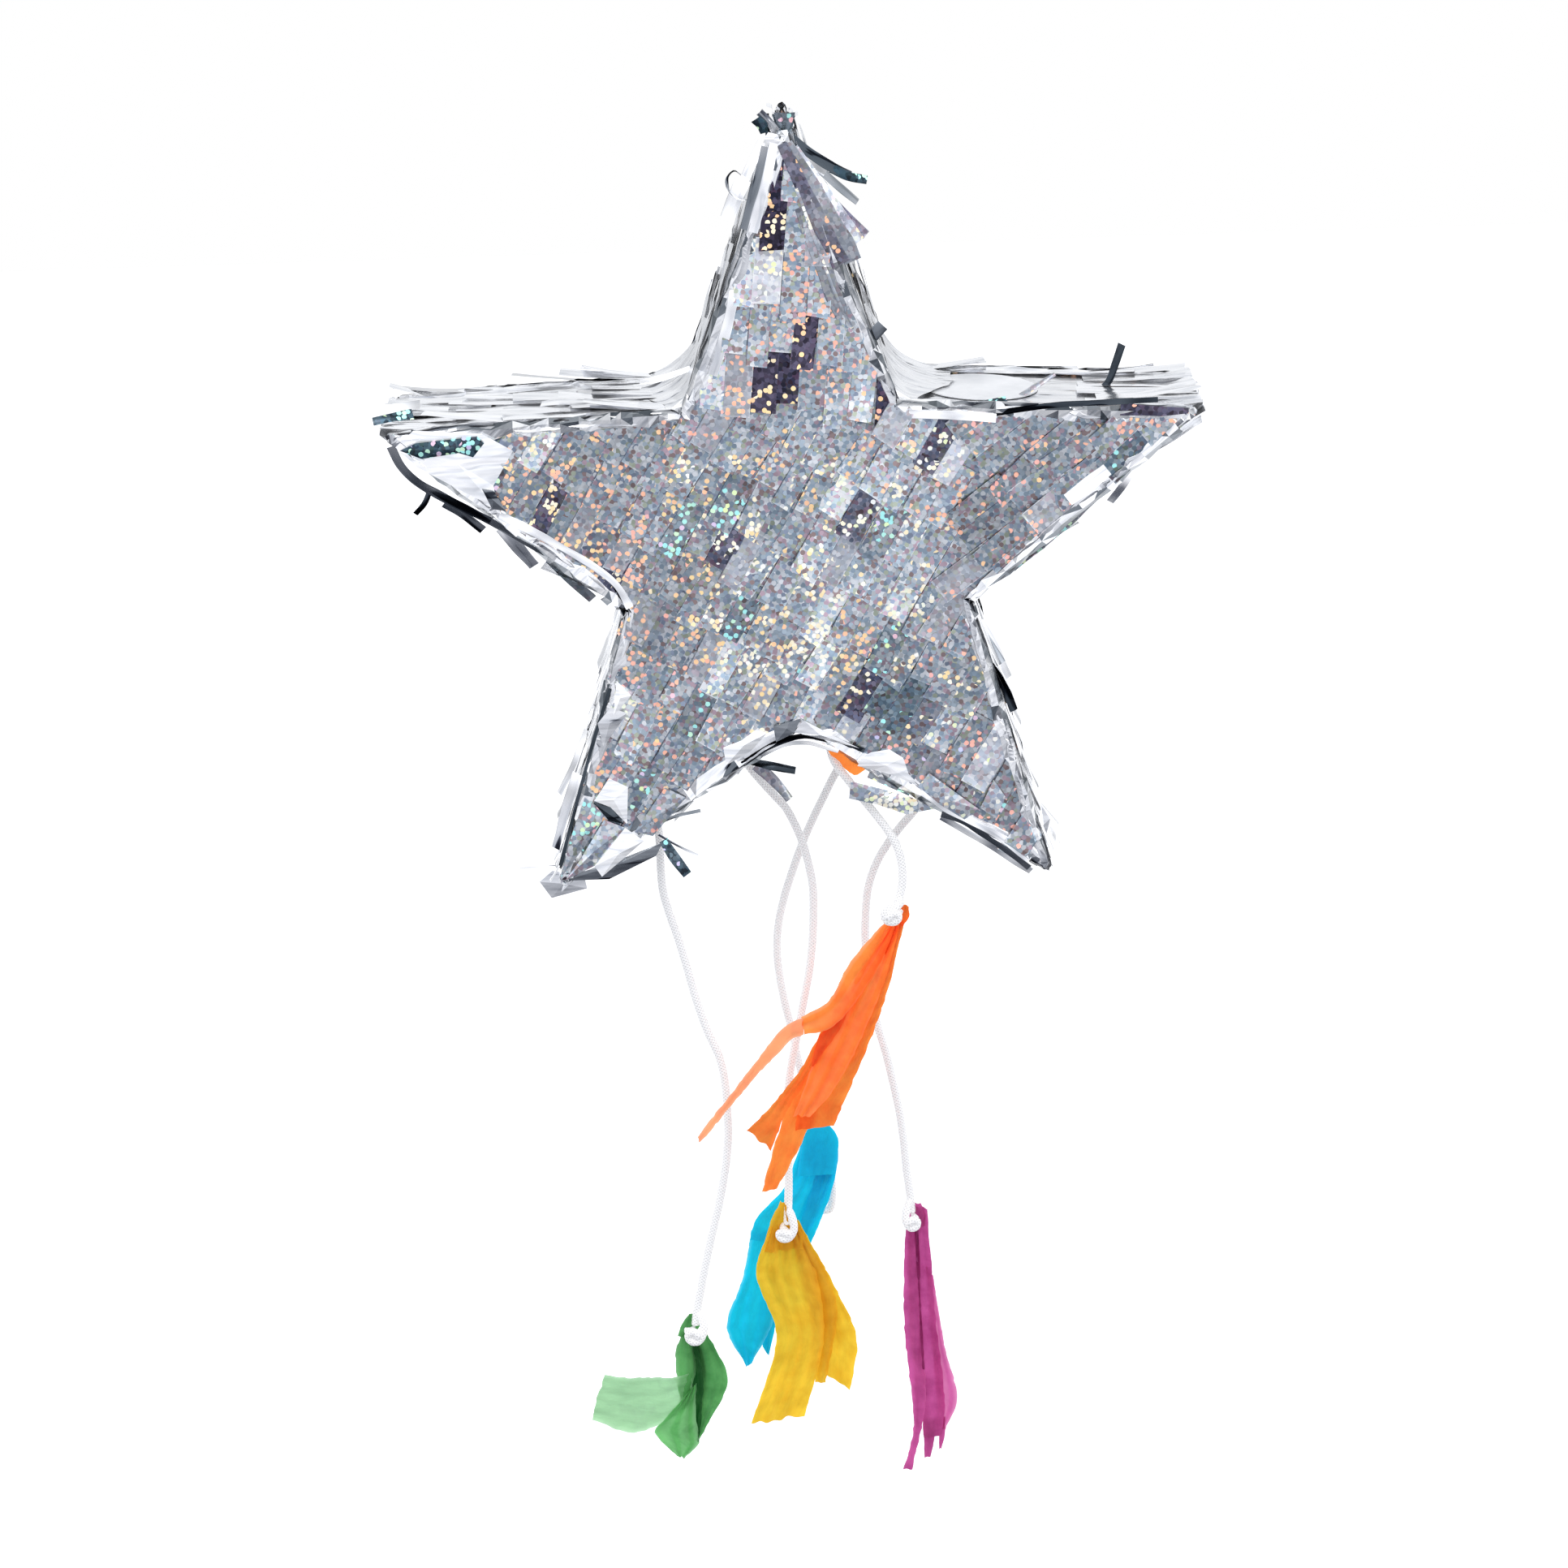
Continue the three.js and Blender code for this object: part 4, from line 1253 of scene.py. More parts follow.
# Tone, glint share and hue of each kind of dotted film, where the glint share is that of dots with painted
# glints, and from the pale kind on of mirror film, where a tone above 1, as on the pale and silver kinds, is a
# painted glow.
DARK = (0.22, 0.18, 0.33)
TEAL_DARK = (0.20, 0.26, 0.93)
BLUE = (0.5, 0.30, 0.93)
GREY = (0.80, 0.06, 0.30)
ROSE = (1.0, 0.06, 0.12)
PAINTED_SPARKLE = (1.1, 0.55, 0.62)
WHITE_DOTS = (1.25, 0.05, 0.60)
BLUE_DOTS = (0.95, 0.45, 0.95)
FAN = (0.80, 0.03, 0.3)
FAN_DARK = (0.5, 0.05, 0.3)
TUFT = (0.45, 0.02, 0.93)
TEAL_STEEL = (0.55, 0.12, 0.93)
TEAL_BLACK = (0.30, 0.22, 0.95)
PAINTED_GLOW_PALE = (1.45, -0.12, 0)
SILVER = (1.12, 0.02, 0)
PEWTER = (0.6, 0, 0)
STEEL = (0.42, 0.08, 0)
BLACK = (0.12, 0.1, 0)
# How far the dots are washed out on plates, on loose ends and on the ends at the top tip.
PLATE_WASH, LOOSE_WASH, TUFT_WASH = 0.15, 0.4, 0.8


def make_loose_ends():
    """Ribbons of dotted and of mirror film that have come free round the star."""
    holo, plain = Pile(LOOSE_WASH), Pile()
    # At the top tip: a fan that stands up, a dark curled end, and long strips that fall to the right.
    ribbon(holo, [(0.6, -26, -2), (0.8, -25.6, 3), (0.6, -26, 7.4)], 4.6, FRONT, TUFT, taper=2.2, seed=1)
    ribbon(holo, [(-7.6, -30, 0), (-8.6, -30, 3.6), (-10.4, -30, 6.6)], 3.6, FRONT, TEAL_DARK, taper=1.7,
           curl=1.0, seed=2)
    ribbon(plain, [(-6, -24, -2), (-6.4, -26, 3), (-6.6, -26, 7.6)], 2.2, FRONT, STEEL, seed=3)
    ribbon(plain, [(2.6, -22, -3.4), (12, -22.5, -11), (21, -23, -17), (28, -23, -20.6)], 4.6,
           (0.2, -0.9, 0.5), BLACK, seed=61)
    ribbon(holo, [(20, -23, -17), (27, -23.4, -20.6), (35, -23, -22.5)], 4.2, (0.2, -0.9, 0.5), TEAL_DARK,
           curl=1.0, seed=4)
    ribbon(plain, [(2, -20, -5), (10, -20, -13), (18, -20, -19)], 5.0, (0.3, -0.9, 0.4), PAINTED_GLOW_PALE, seed=62)
    ribbon(plain, [(12, -6, -17), (21, -6, -26), (31, -6, -35)], 5.0, (0.5, -0.8, 0.5), STEEL, twist=0.3,
           curl=0.8, seed=5)
    ribbon(holo, [(4, -36, -6), (15, -36.5, -22), (25, -36, -37), (31, -35.6, -46)], 6.0, (0.5, -1, 0.3),
           FAN, seed=7)
    ribbon(holo, [(9, -33, -14), (19, -34, -28), (27, -34, -37), (34, -33.6, -44)], 5.0, (0.5, -1, 0.3),
           FAN_DARK, seed=8)
    # Long strips down both edges of the top arm.
    ribbon(holo, [(-0.4, -40, -3), (4, -40.4, -13), (10, -40.4, -27), (17, -40.2, -42), (23, -39.8, -55)],
           5.4, FRONT, FAN_DARK, taper=1.5, seed=43)
    ribbon(holo, [(1.5, -39.4, -3), (9, -40, -16), (17, -40, -31), (24, -39.6, -44), (28, -39, -54)], 5.6,
           FRONT, FAN, taper=1.4, seed=44)
    ribbon(holo, [(7, -39.6, -30), (13, -40, -48), (19, -39.8, -66), (27, -39, -84)], 6.4, FRONT, GREY,
           taper=1.3, seed=45)
    ribbon(holo, [(5, -40.6, -22), (11, -40.8, -40), (16.5, -40.8, -57), (22, -40.6, -72), (27, -40, -83)],
           1.3, FRONT, PAINTED_SPARKLE, seed=63)
    ribbon(plain, [(-4, -40.6, -3), (-6.4, -41, -14), (-10.6, -41, -28), (-14, -40.6, -40)], 3.6, FRONT,
           PAINTED_GLOW_PALE, taper=1.3, seed=46)
    ribbon(plain, [(-7.4, -39.6, -4), (-10.6, -40, -16), (-14, -40, -27), (-17.4, -39.6, -39)], 3.4,
           (-0.5, -1, 0), STEEL, taper=1.3, seed=47)
    ribbon(plain, [(-19, -38.6, -52), (-24, -39, -66), (-29, -39, -80), (-37, -38.6, -98)], 3.2,
           (-0.5, -1, 0), BLACK, seed=64)
    ribbon(plain, [(-22, -39.8, -64), (-26, -40.4, -80), (-33, -40, -101)], 4.4, FRONT, PAINTED_GLOW_PALE, seed=65)
    ribbon(plain, [(-9, -12, -7), (-13, -13, -15), (-18.6, -12, -26)], 4.6, (-0.6, -0.8, 0.2), PAINTED_GLOW_PALE, seed=66)
    # On the left of the top arm: a loop and a flap.
    loop = [(-16, -20, -30), (-20, -21, -29), (-23.5, -22, -25), (-24, -22, -20), (-21, -22, -17),
            (-18, -21, -19)]
    ribbon(plain, loop, 1.6, (0, -0.4, 1), STEEL, seed=9, step=1.0)
    ribbon(plain, [(-17, -14, -22), (-21, -14, -30), (-25, -14, -39)], 8.0, (-0.6, -0.8, 0), PAINTED_GLOW_PALE, curl=1.0,
           seed=10)
    # Small ends round the arms.
    ribbon(plain, [(31, -32, -91), (35, -33, -88), (40, -33, -83)], 6.5, (0.2, -1, 0.2), STEEL, curl=0.8,
           seed=11)
    ribbon(plain, [(132, 8, -126), (138, 7, -120), (141, 6, -112), (144, 5, -103)], 3.6, (0.1, -1, 0.1),
           BLACK, twist=0.6, seed=12)
    ribbon(holo, [(88, -12, -127), (101, -13, -119), (114, -14, -111)], 3.4, (0, -0.5, 1), GREY, curl=0.8,
           seed=13)
    ribbon(holo, [(78, -30, -120), (85, -31, -118.6), (92, -30, -117.6)], 4.0, (0, -0.6, 1), TEAL_DARK,
           seed=67)
    ribbon(plain, [(-65, 0, -112), (-55, -2, -110), (-43, -3, -106)], 3.2, (-0.2, -0.7, 0.7), SILVER,
           seed=14)
    ribbon(holo, [(-162, -24, -117.4), (-170, -26, -118), (-179, -27, -119.5)], 5.0, (0, -0.7, 0.7),
           TEAL_DARK, curl=0.8, seed=15)
    ribbon(plain, [(-160, -8, -117), (-170, -8, -118), (-179, -8, -119)], 8.0, (0, -0.4, 1), SILVER,
           curl=0.8, seed=16)
    ribbon(plain, [(86, -39.6, -121.4), (100, -40, -119.6), (114, -40, -118.4), (134, -40, -118),
                   (156, -39.6, -117.6)], 2.6, FRONT, BLACK, seed=68)
    ribbon(plain, [(50, -40, -120.4), (68, -40.6, -121.4), (87, -40.2, -123.4)], 4.0, FRONT, PAINTED_GLOW_PALE, seed=69)
    ribbon(holo, [(140, -40, -121), (156, -40.6, -122.4), (169, -40, -122.8)], 6.0, FRONT, DARK, taper=0.4,
           seed=59)
    ribbon(plain, [(134, -40.8, -147), (125, -41.2, -154), (117, -40.8, -160)], 6.0, FRONT, PAINTED_GLOW_PALE, seed=60)
    # Under the left arm: a dark band with two free ends.
    ribbon(plain, [(-171, -38, -128), (-167, -38, -137), (-159, -38.4, -145), (-146, -38.6, -153),
                   (-130, -38.6, -162)], 4.6, (-0.3, -1, -0.4), STEEL, seed=18)
    ribbon(plain, [(-132, -38.4, -161), (-116, -38.6, -171), (-100, -38.6, -181), (-87, -38, -190)], 4.0,
           (-0.3, -1, -0.4), STEEL, seed=19)
    ribbon(plain, [(-126, -40.6, -159), (-112, -41, -166.6), (-99, -41, -174.6), (-86, -41, -183.4),
                   (-77, -40.4, -192), (-72, -40, -202)], 3.2, FRONT, PAINTED_GLOW_PALE, seed=20)
    ribbon(plain, [(-126, -26, -168), (-119, -26, -178), (-113, -25, -186)], 6.0, (-0.4, -1, 0), SILVER,
           seed=21)
    ribbon(holo, [(-106, -32, -181), (-96, -31, -192), (-88, -30, -200)], 5.4, (-0.4, -1, 0), TEAL_STEEL,
           seed=70)
    ribbon(plain, [(-150, -32, -155), (-143, -31, -160), (-134, -30, -168)], 4.4, (-0.4, -1, 0), STEEL,
           seed=71)
    ribbon(plain, [(-156, -23, -150), (-159, -23, -157), (-163.4, -22, -162)], 2.6, (-0.3, -1, 0), BLACK,
           twist=0.6, seed=17)
    ribbon(plain, [(-81, -38.6, -192), (-76, -39, -199), (-72.6, -38.6, -207)], 4.6, (-0.4, -1, 0), BLACK,
           seed=72)
    # Right of the right arm's lower notch and along the right leg.
    ribbon(plain, [(78, -2, -224), (84, -2, -234), (89, -2, -243)], 4.6, (0.4, -1, 0), STEEL, curl=0.6,
           seed=22)
    ribbon(plain, [(83, -28, -236), (89, -28, -246), (93, -28, -257)], 4.0, (0.4, -1, 0), BLACK, curl=0.6,
           seed=23)
    ribbon(plain, [(80, 12, -228), (87, 12, -240), (92, 12, -254)], 6.0, (0.7, -0.7, 0), SILVER, curl=0.6,
           seed=24)
    ribbon(holo, [(133, -32, -158), (123, -33, -167), (109, -33, -179), (93, -31, -192)], 4.6,
           (0.3, -1, -0.3), BLUE_DOTS, seed=25)
    ribbon(plain, [(153, -31, -141), (144, -32, -147), (140, -31, -154)], 3.4, (0.3, -1, -0.3), BLACK,
           seed=26)
    ribbon(plain, [(150, -27, -145), (142, -28, -157), (136, -27, -165)], 4.4, (0.3, -1, -0.3), PAINTED_GLOW_PALE,
           seed=73)
    # Round the bottom notch and the left leg: thin free ends.
    ribbon(holo, [(29, -33, -282), (38, -34, -286), (47, -33, -291)], 4.4, (0, -1, 0.3), BLUE, seed=28)
    ribbon(plain, [(60, -38.6, -300), (69, -39.4, -303), (78, -39.4, -309), (87, -39.4, -316),
                   (98, -38.6, -326)], 3.4, (0, -1, -0.4), STEEL, seed=31)
    ribbon(plain, [(52, -40.4, -288), (62, -40.8, -297), (72, -40.8, -302.6), (86, -40.8, -311),
                   (98, -40, -322)], 3.2, FRONT, PAINTED_GLOW_PALE, seed=74)
    ribbon(plain, [(60, -34, -302.7), (70, -35, -309), (84, -35, -318), (99, -34, -329)], 3.6,
           (0, -1, -0.4), PAINTED_GLOW_PALE, seed=75)
    ribbon(plain, [(-22, -30, -276), (-12, -32, -278), (-3, -32, -280)], 3.4, (0, -0.8, 0.6), BLACK,
           curl=0.6, seed=32)
    ribbon(holo, [(-20, -28, -278), (-12, -29, -286), (-6, -29, -294)], 4.6, (0, -1, 0), GREY, twist=0.4,
           curl=0.8, seed=33)
    ribbon(holo, [(-62, -26, -312), (-58, -27, -319), (-52, -27, -328)], 5.0, (0.2, -1, 0), TEAL_BLACK,
           seed=35)
    ribbon(plain, [(-64, -24, -310), (-56, -25, -315), (-47, -25, -320)], 1.2, (0, -1, 0.4), SILVER, seed=36)
    ribbon(plain, [(-66, -36, -302), (-56, -36, -298), (-45, -35, -296)], 1.6, (0, -1, 0.4), STEEL, seed=76)
    ribbon(plain, [(-107, -6, -329), (-117, -6, -330), (-127, -6, -330)], 1.8, (0, -1, 0.6), SILVER, seed=37)
    ribbon(plain, [(-94, -20, -262), (-100, -21, -277), (-107, -20, -291)], 3.4, (-0.8, -0.6, 0), SILVER,
           seed=39)
    ribbon(plain, [(-98, -33, -278), (-104, -34, -294), (-109, -33, -312)], 5.0, (-0.6, -0.8, 0), SILVER,
           seed=40)
    ribbon(plain, [(-82, -39.8, -238), (-89, -40.4, -258), (-98, -40.4, -287), (-107, -39.8, -318)], 1.7,
           (-0.5, -1, 0), BLACK, seed=77)
    # The foil that rounds off the bottom notch.
    ribbon(plain, [(-26, -39.6, -274), (-13, -40, -266), (1, -40, -262), (15, -40, -265),
                   (27, -39.6, -270)], 3.4, (0, -1, -0.5), BLACK, seed=57)
    ribbon(plain, [(-18, -38, -271), (-7, -38.4, -266), (3, -38.4, -265.6), (16, -38, -270)], 2.6,
           (0, -1, -0.5), PAINTED_GLOW_PALE, seed=58)
    holo.build("loose_dotted_ends", "star", "holographic_foil", HOLO, smooth=True)
    plain.build("loose_mirror_ends", "star", "mirror_foil", MIRROR, smooth=True)


def make_torn_plates():
    """Flat torn pieces with sharp corners, mirror and dotted."""
    plain, holo = Pile(), Pile(PLATE_WASH)
    # The left arm's tip and the dark fold in it.
    plate(plain, [(-169, -128), (-161, -121), (-132, -123), (-119, -131), (-128, -146), (-127, -156),
                  (-143, -147), (-160, -137)], -40.2, PAINTED_GLOW_PALE, 1)
    plate(plain, [(-133, -147), (-128, -148), (-123, -157), (-129, -156)], -41.4, STEEL, 2)
    plate(holo, [(-167, -129), (-160, -126), (-134, -124), (-131, -127), (-136, -133), (-142, -131),
                 (-158, -133)], -41.6, TEAL_DARK, 3)
    # The left leg's tip.
    plate(plain, [(-84, -278), (-76, -282), (-77, -299), (-84, -291), (-91, -288)], -41.8, PAINTED_GLOW_PALE, 4)
    plate(plain, [(-91, -289), (-84, -291), (-78, -299), (-85, -297)], -42.4, BLACK, 5)
    plate(holo, [(-95, -287), (-87, -293), (-88, -298), (-96, -309), (-107, -323), (-102, -305)], -41.0,
          BLUE_DOTS, 6)
    plate(holo, [(-87, -297), (-78, -301), (-92, -318), (-105, -324), (-99, -316)], -41.2, WHITE_DOTS, 7)
    plate(plain, [(-78, -301), (-70, -307), (-78, -314), (-89, -323), (-92, -318)], -41.0, PAINTED_GLOW_PALE, 8)
    plate(holo, [(-60, -283), (-51, -288), (-66, -305), (-74, -303)], -41.4, ROSE, 9)
    plate(plain, [(-62, -309), (-65, -315), (-86, -325), (-106, -325), (-97, -321), (-78, -315)], -39.0,
          STEEL, 10)
    plate(plain, [(-118, -334), (-112, -329), (-98, -333), (-97, -338), (-113, -342)], -12.0, SILVER, 11)
    plate(plain, [(-79, -234), (-73, -241), (-81, -250)], -41.0, PAINTED_GLOW_PALE, 12)
    plate(plain, [(-82, -246), (-75, -249), (-86, -264), (-88, -253)], -41.0, SILVER, 13)
    # Crumples left of the bottom notch and over it.
    plate(plain, [(-34, -266), (-26, -263), (-19, -258), (-15, -260), (-22, -268), (-33, -274)], -40.6,
          PAINTED_GLOW_PALE, 14)
    plate(plain, [(-12, -257), (-5, -255), (0, -254), (-3, -260), (-11, -264)], -40.8, STEEL, 15)
    plate(plain, [(1, -254.5), (14, -262), (25, -268), (4, -262), (-3, -260)], -40.8, SILVER, 16)
    # The flap over the orange tissue, the dotted strip right of it and the bright strip under it.
    plate(plain, [(26, -272), (30, -270), (38, -269), (44, -273), (46, -280), (50, -286), (40, -281),
                  (31, -278), (24, -276)], -40.8, PAINTED_GLOW_PALE, 17)
    plate(holo, [(50, -286), (55, -280), (66, -289), (77, -298), (73, -300), (70, -302), (60, -295)], -41.4,
          WHITE_DOTS, 18)
    plate(holo, [(21, -285), (20, -293), (32, -296), (45, -301), (57, -299), (47, -293), (34, -289)], -34.0,
          PAINTED_SPARKLE, 19)
    # The right leg, and last the top tip.
    plate(holo, [(83, -284), (88, -292), (84, -302), (77, -297)], -41.2, WHITE_DOTS, 20)
    plate(plain, [(105, -306), (109, -313), (107, -321), (103, -321)], -10.0, SILVER, 21)
    plate(plain, [(-8, -1), (-6, 2), (-2, 1), (-1, -2), (-4, -5)], -39.6, PAINTED_GLOW_PALE, 22)
    plain.build("torn_mirror_plates", "star", "mirror_foil", MIRROR)
    holo.build("torn_dotted_plates", "star", "holographic_foil", HOLO)


make_torn_plates()
make_loose_ends()


# ---------------------------------------------------------------- tassels
# Each panel is the two long edges of one fold of tissue, from the neck down, in X and Z, with how far it
# stands from the tassel's middle plane (Y), how see-through it is, its tone and how deep its colour is.
# The tone and depth of colour are partly the dye and partly painted shade, darker in the folds.
# A depth of colour below 0 fades towards white. layer is the range of Y that the tassel keeps to.
TASSELS = {
    "orange": {
        "layer": (-36, -25),
        "panels": [
            ([(22, -382), (1, -412), (-13, -443), (-24, -479)],
             [(26, -383), (8, -417), (-1, -447), (-17, -478)], 3.2, 0.7, 1.1, 0.04),
            ([(37, -353), (19, -398), (-6, -438), (-8, -449)],
             [(43, -352), (33, -390), (17, -430), (9, -448)], 1.4, 0.9, 0.98, 0.22),
            ([(36, -354), (11, -393), (-4, -429), (-9, -441)],
             [(41, -354), (28, -393), (9, -430), (-1, -441)], -1.6, 0.2, 1.12, -0.03),
            ([(36, -350), (18, -370), (8, -387), (-4, -394)],
             [(40, -350), (30, -373), (9, -399), (-3, -402)], -3.6, 0.5, 1.1, -0.03),
            ([(-3, -394), (-10, -397), (-26, -416), (-52, -449)],
             [(-3, -402), (-8, -404), (-20, -416), (-51, -452)], -3.2, 0.6, 1.12, -0.12),
            ([(8, -396), (-8, -424), (-21, -439), (-30, -448)],
             [(13, -400), (-3, -426), (-13, -442), (-19, -458)], -0.2, 0.6, 1.0, 0.08),
            ([(41, -342), (39, -347), (37, -352)], [(45, -345), (45, -350), (42, -354)], -1.5, 0.2, 1.0,
             0.35),
            ([(21, -380), (3, -406), (0, -417)], [(22, -381), (14, -399), (1, -418)], -3.0, 0.2, 1.0, 0.75),
        ],
    },
    "cyan": {
        "layer": (21, 33),
        "panels": [
            ([(-2, -466), (-9, -486), (-14, -498), (-27, -512), (-31, -524)],
             [(5, -466), (11, -478), (8, -500), (-3, -527)], -3.4, 0.25, 1.05, 0.05),
            ([(-30, -520), (-35, -544), (-43, -569), (-35, -588)],
             [(-5, -520), (-18, -545), (-22, -567), (-32, -587)], -1.5, 0.3, 1.08, 0.0),
            ([(-20, -540), (-27, -563), (-27, -580)], [(-10, -538), (-21, -572), (-24, -585)], 2.5, 0.5,
             1.0, 0.3),
            ([(3, -474), (1, -490), (-16, -538)], [(9, -474), (9, -490), (-11, -538)], -4.4, 0.3, 1.0, 0.18),
            ([(-3, -463), (-5, -473), (-8, -492)], [(4, -463), (11, -473), (9, -492)], -5.6, 0.3, 1.02,
             0.05),
        ],
    },
    "yellow": {
        "layer": (-8, 4),
        "panels": [
            ([(-12, -507), (-5, -532), (0, -558), (1, -581)],
             [(-8, -504), (7, -537), (17, -565), (13, -590)], 2.6, 0.6, 1.0, 0.12),
            ([(-12, -509), (-3, -545), (-3, -584)], [(-8, -506), (8, -545), (2, -585)], 0.4, 0.3, 0.95,
             0.42),
            ([(-21, -506), (-28, -528), (-20, -561), (-33, -603)],
             [(-9, -505), (-1, -529), (2, -560), (-8, -601)], -1.8, 0.45, 1.0, 0.08),
            ([(-16, -494), (-21, -505), (-25, -519)], [(-12, -497), (-8, -505), (-6, -518)], -2.4, 0.4,
             0.98, 0.3),
        ],
    },
    "green": {
        "layer": (-22, -11),
        "panels": [
            ([(-59, -571), (-70, -573), (-84, -572), (-99, -571)],
             [(-59, -585), (-67, -592), (-87, -600), (-106, -593)], -1.3, 1.0, 1.3, -0.2),
            ([(-60, -551), (-60, -571), (-62, -600)], [(-55, -551), (-52, -573), (-56, -602)], 2.0, 0.3,
             0.55, 0.9),
            ([(-58, -552), (-54, -573), (-58, -606)],
             [(-52, -551), (-47, -561), (-43, -576), (-57, -606)], 0.6, 0.3, 1.0, 0.12),
            ([(-63, -552), (-66, -562), (-65, -586)], [(-60, -551), (-57, -568), (-62, -588)], -0.8, 0.4,
             1.0, 0.0),
            ([(-60, -579), (-73, -594), (-77, -599), (-67, -612)],
             [(-57, -576), (-58, -592), (-57, -606), (-64, -613)], -1.8, 0.5, 1.25, -0.04),
            ([(-59, -542), (-63, -548), (-65, -553)], [(-58, -542), (-54, -547), (-58, -553)], -1.4, 0.3,
             0.9, 0.1),
            ([(-58, -556), (-56, -584), (-58, -605)], [(-56, -556), (-54, -575), (-57, -606)], -2.6, 0.2,
             0.75, 0.9),
        ],
    },
    "magenta": {
        "layer": (7, 18),
        "panels": [
            ([(50, -535), (52, -571), (54, -617)], [(53, -540), (58, -578), (63, -604), (57, -618)], 2.2,
             0.9, 1.25, -0.08),
            ([(44, -504), (43, -545), (47, -622)], [(51, -506), (54, -565), (57, -604), (55, -620)], 0.6,
             0.4, 1.1, 0.12),
            ([(41, -512), (39, -560), (42, -615), (37, -635)],
             [(46, -512), (47, -566), (48, -603), (41, -635)], -1.8, 0.3, 1.08, 0.04),
            ([(47, -612), (47, -622), (47, -633)], [(52, -612), (52, -622), (50, -632)], 3.0, 0.4, 1.0, 0.3),
            ([(52, -612), (54, -620), (54, -629)], [(57, -612), (57, -620), (55, -628)], 3.4, 0.4, 1.1,
             0.15),
            ([(44, -503), (43, -509), (42, -515)], [(48, -503), (50, -509), (50, -515)], -2.6, 0.3, 1.1,
             0.05),
            ([(45, -514), (46, -550), (47, -585)], [(47, -514), (47, -550), (48, -585)], -3.4, 0.2, 0.9,
             0.8),
        ],
    },
}


PANEL_STEP = 0.6
ROW_HEIGHT, COLUMN_WIDTH = 1.7, 1.0
PLEAT_WIDTH = 7.5
GATHERED = 42  # how far from its knot the tissue is drawn together
COVERS_CORD = -5  # a fold with less depth than this covers the cord's end
SMOOTH_BELOW = -0.1  # a fold with a paler colour than this is almost unpleated
LAYER_MARGIN = 0.3
HEM_START = 0.8
RIM_OF_TISSUE = 1.8


def resample(points, count):
    """Points (X, Z) at even steps along the curve through a few."""
    dense, _ = curve_through(points, PANEL_STEP)
    at = np.linspace(0, len(dense) - 1, count)
    return np.stack([np.interp(at, np.arange(len(dense)), dense[:, k]) for k in range(2)], 1)


def tissue_panel(pile, panel, seed, middle, layer, knot):
    """One fold of tissue, pleated and ragged at its hem.

    middle is the tassel's middle plane, layer the range of Y that it keeps to, and knot its neck's X and Z.
    """
    left, right, depth, sheer, tone, deep = panel
    length = max(curve_through(left, 1.0)[1], curve_through(right, 1.0)[1])
    rows = max(10, int(length / ROW_HEIGHT))
    a, b = resample(left, rows), resample(right, rows)
    wide = np.linalg.norm(b - a, axis=1)
    columns = max(10, int(wide.max() / COLUMN_WIDTH))
    t = np.linspace(0, 1, rows)[:, None]
    u = np.linspace(0, 1, columns)[None]
    xz = a[:, None] * (1 - u)[..., None] + b[:, None] * u[..., None]
    away = np.minimum(1, np.hypot(xz[..., 0] - knot[0], xz[..., 1] - knot[1]) / GATHERED)
    if depth < COVERS_CORD:
        away = np.ones_like(away)  # this fold stands off the tassel's middle plane all the way up
    pleats = max(1.0, wide.max() / PLEAT_WIDTH)
    pleat = np.sin(2 * math.pi * (u * pleats + seed) + 1.3 * noise(t * 2.2 + seed, u * 2 + seed))
    is_smooth = deep < SMOOTH_BELOW
    folds = pleat * (0.55 + 0.9 * (1 - away)) * np.minimum(1, wide[:, None] / 6)
    y = middle + depth * away + (0.25 if is_smooth else 1.0) * folds
    y = y + 1.5 * noise(t * length / 17 + seed, u * wide[:, None] / 11 + seed) * away
    y = y + 0.5 * noise(t * length / 5 + seed, u * wide[:, None] / 4 + seed)
    y = np.clip(y, layer[0] + LAYER_MARGIN, layer[1] - LAYER_MARGIN)
    down = (a[-1] + b[-1] - a[0] - b[0]) / 2
    down /= max(np.linalg.norm(down), 1e-6)
    hem = 0.8 * noise(u * wide.max() / 3.4 + seed, 0.5 + seed) * np.clip((t - HEM_START) / 0.2, 0, 1)
    ragged = 0.35 * noise(t * length / 2.4 + seed, seed + 9.0) * (2 * u - 1)
    side = (b - a) / np.maximum(wide, 0.5)[:, None]
    xz = xz + hem[..., None] * down + ragged[..., None] * side[:, None]
    points = np.dstack([xz[..., 0], y, xz[..., 1]])
    flat_xy = np.stack([u * wide[:, None] + seed * 41, t * length + seed * 23 + 0 * u], -1)
    edge = np.minimum(u, 1 - u) * wide[:, None]
    rim = np.clip(1 - edge / RIM_OF_TISSUE, 0, 1)
    # Painted shade: the colour deepens in the valleys of the pleats.
    painted_pleat_shade = np.clip(-pleat, 0, 1) * 0.20 * (1.3 - away) * (not is_smooth)
    strip = np.dstack([tone * (1 + 0.10 * rim), np.clip(sheer + 0.3 * rim, 0, 1), deep + painted_pleat_shade - 0.08 * rim])
    pile.grid(points, flat_xy, strip, seed)


def make_tassels():
    for colour, spec in TASSELS.items():
        pile = Pile()
        cord = CORDS[colour]
        for k, panel in enumerate(spec["panels"]):
            seed = 1.7 * k + 0.37 * len(colour)
            tissue_panel(pile, panel, seed, cord["y"][1], spec["layer"], cord["knot"])
        name = "tissue_" + colour
        piece = pile.build(name, cord_body(colour), name, TISSUES[colour], smooth=True)
        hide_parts("tassel_" + colour)


make_tassels()


# ---------------------------------------------------------------- CAD nodes' materials
def paint(node, material):
    nodes[node].data.materials.clear()
    nodes[node].data.materials.append(material)


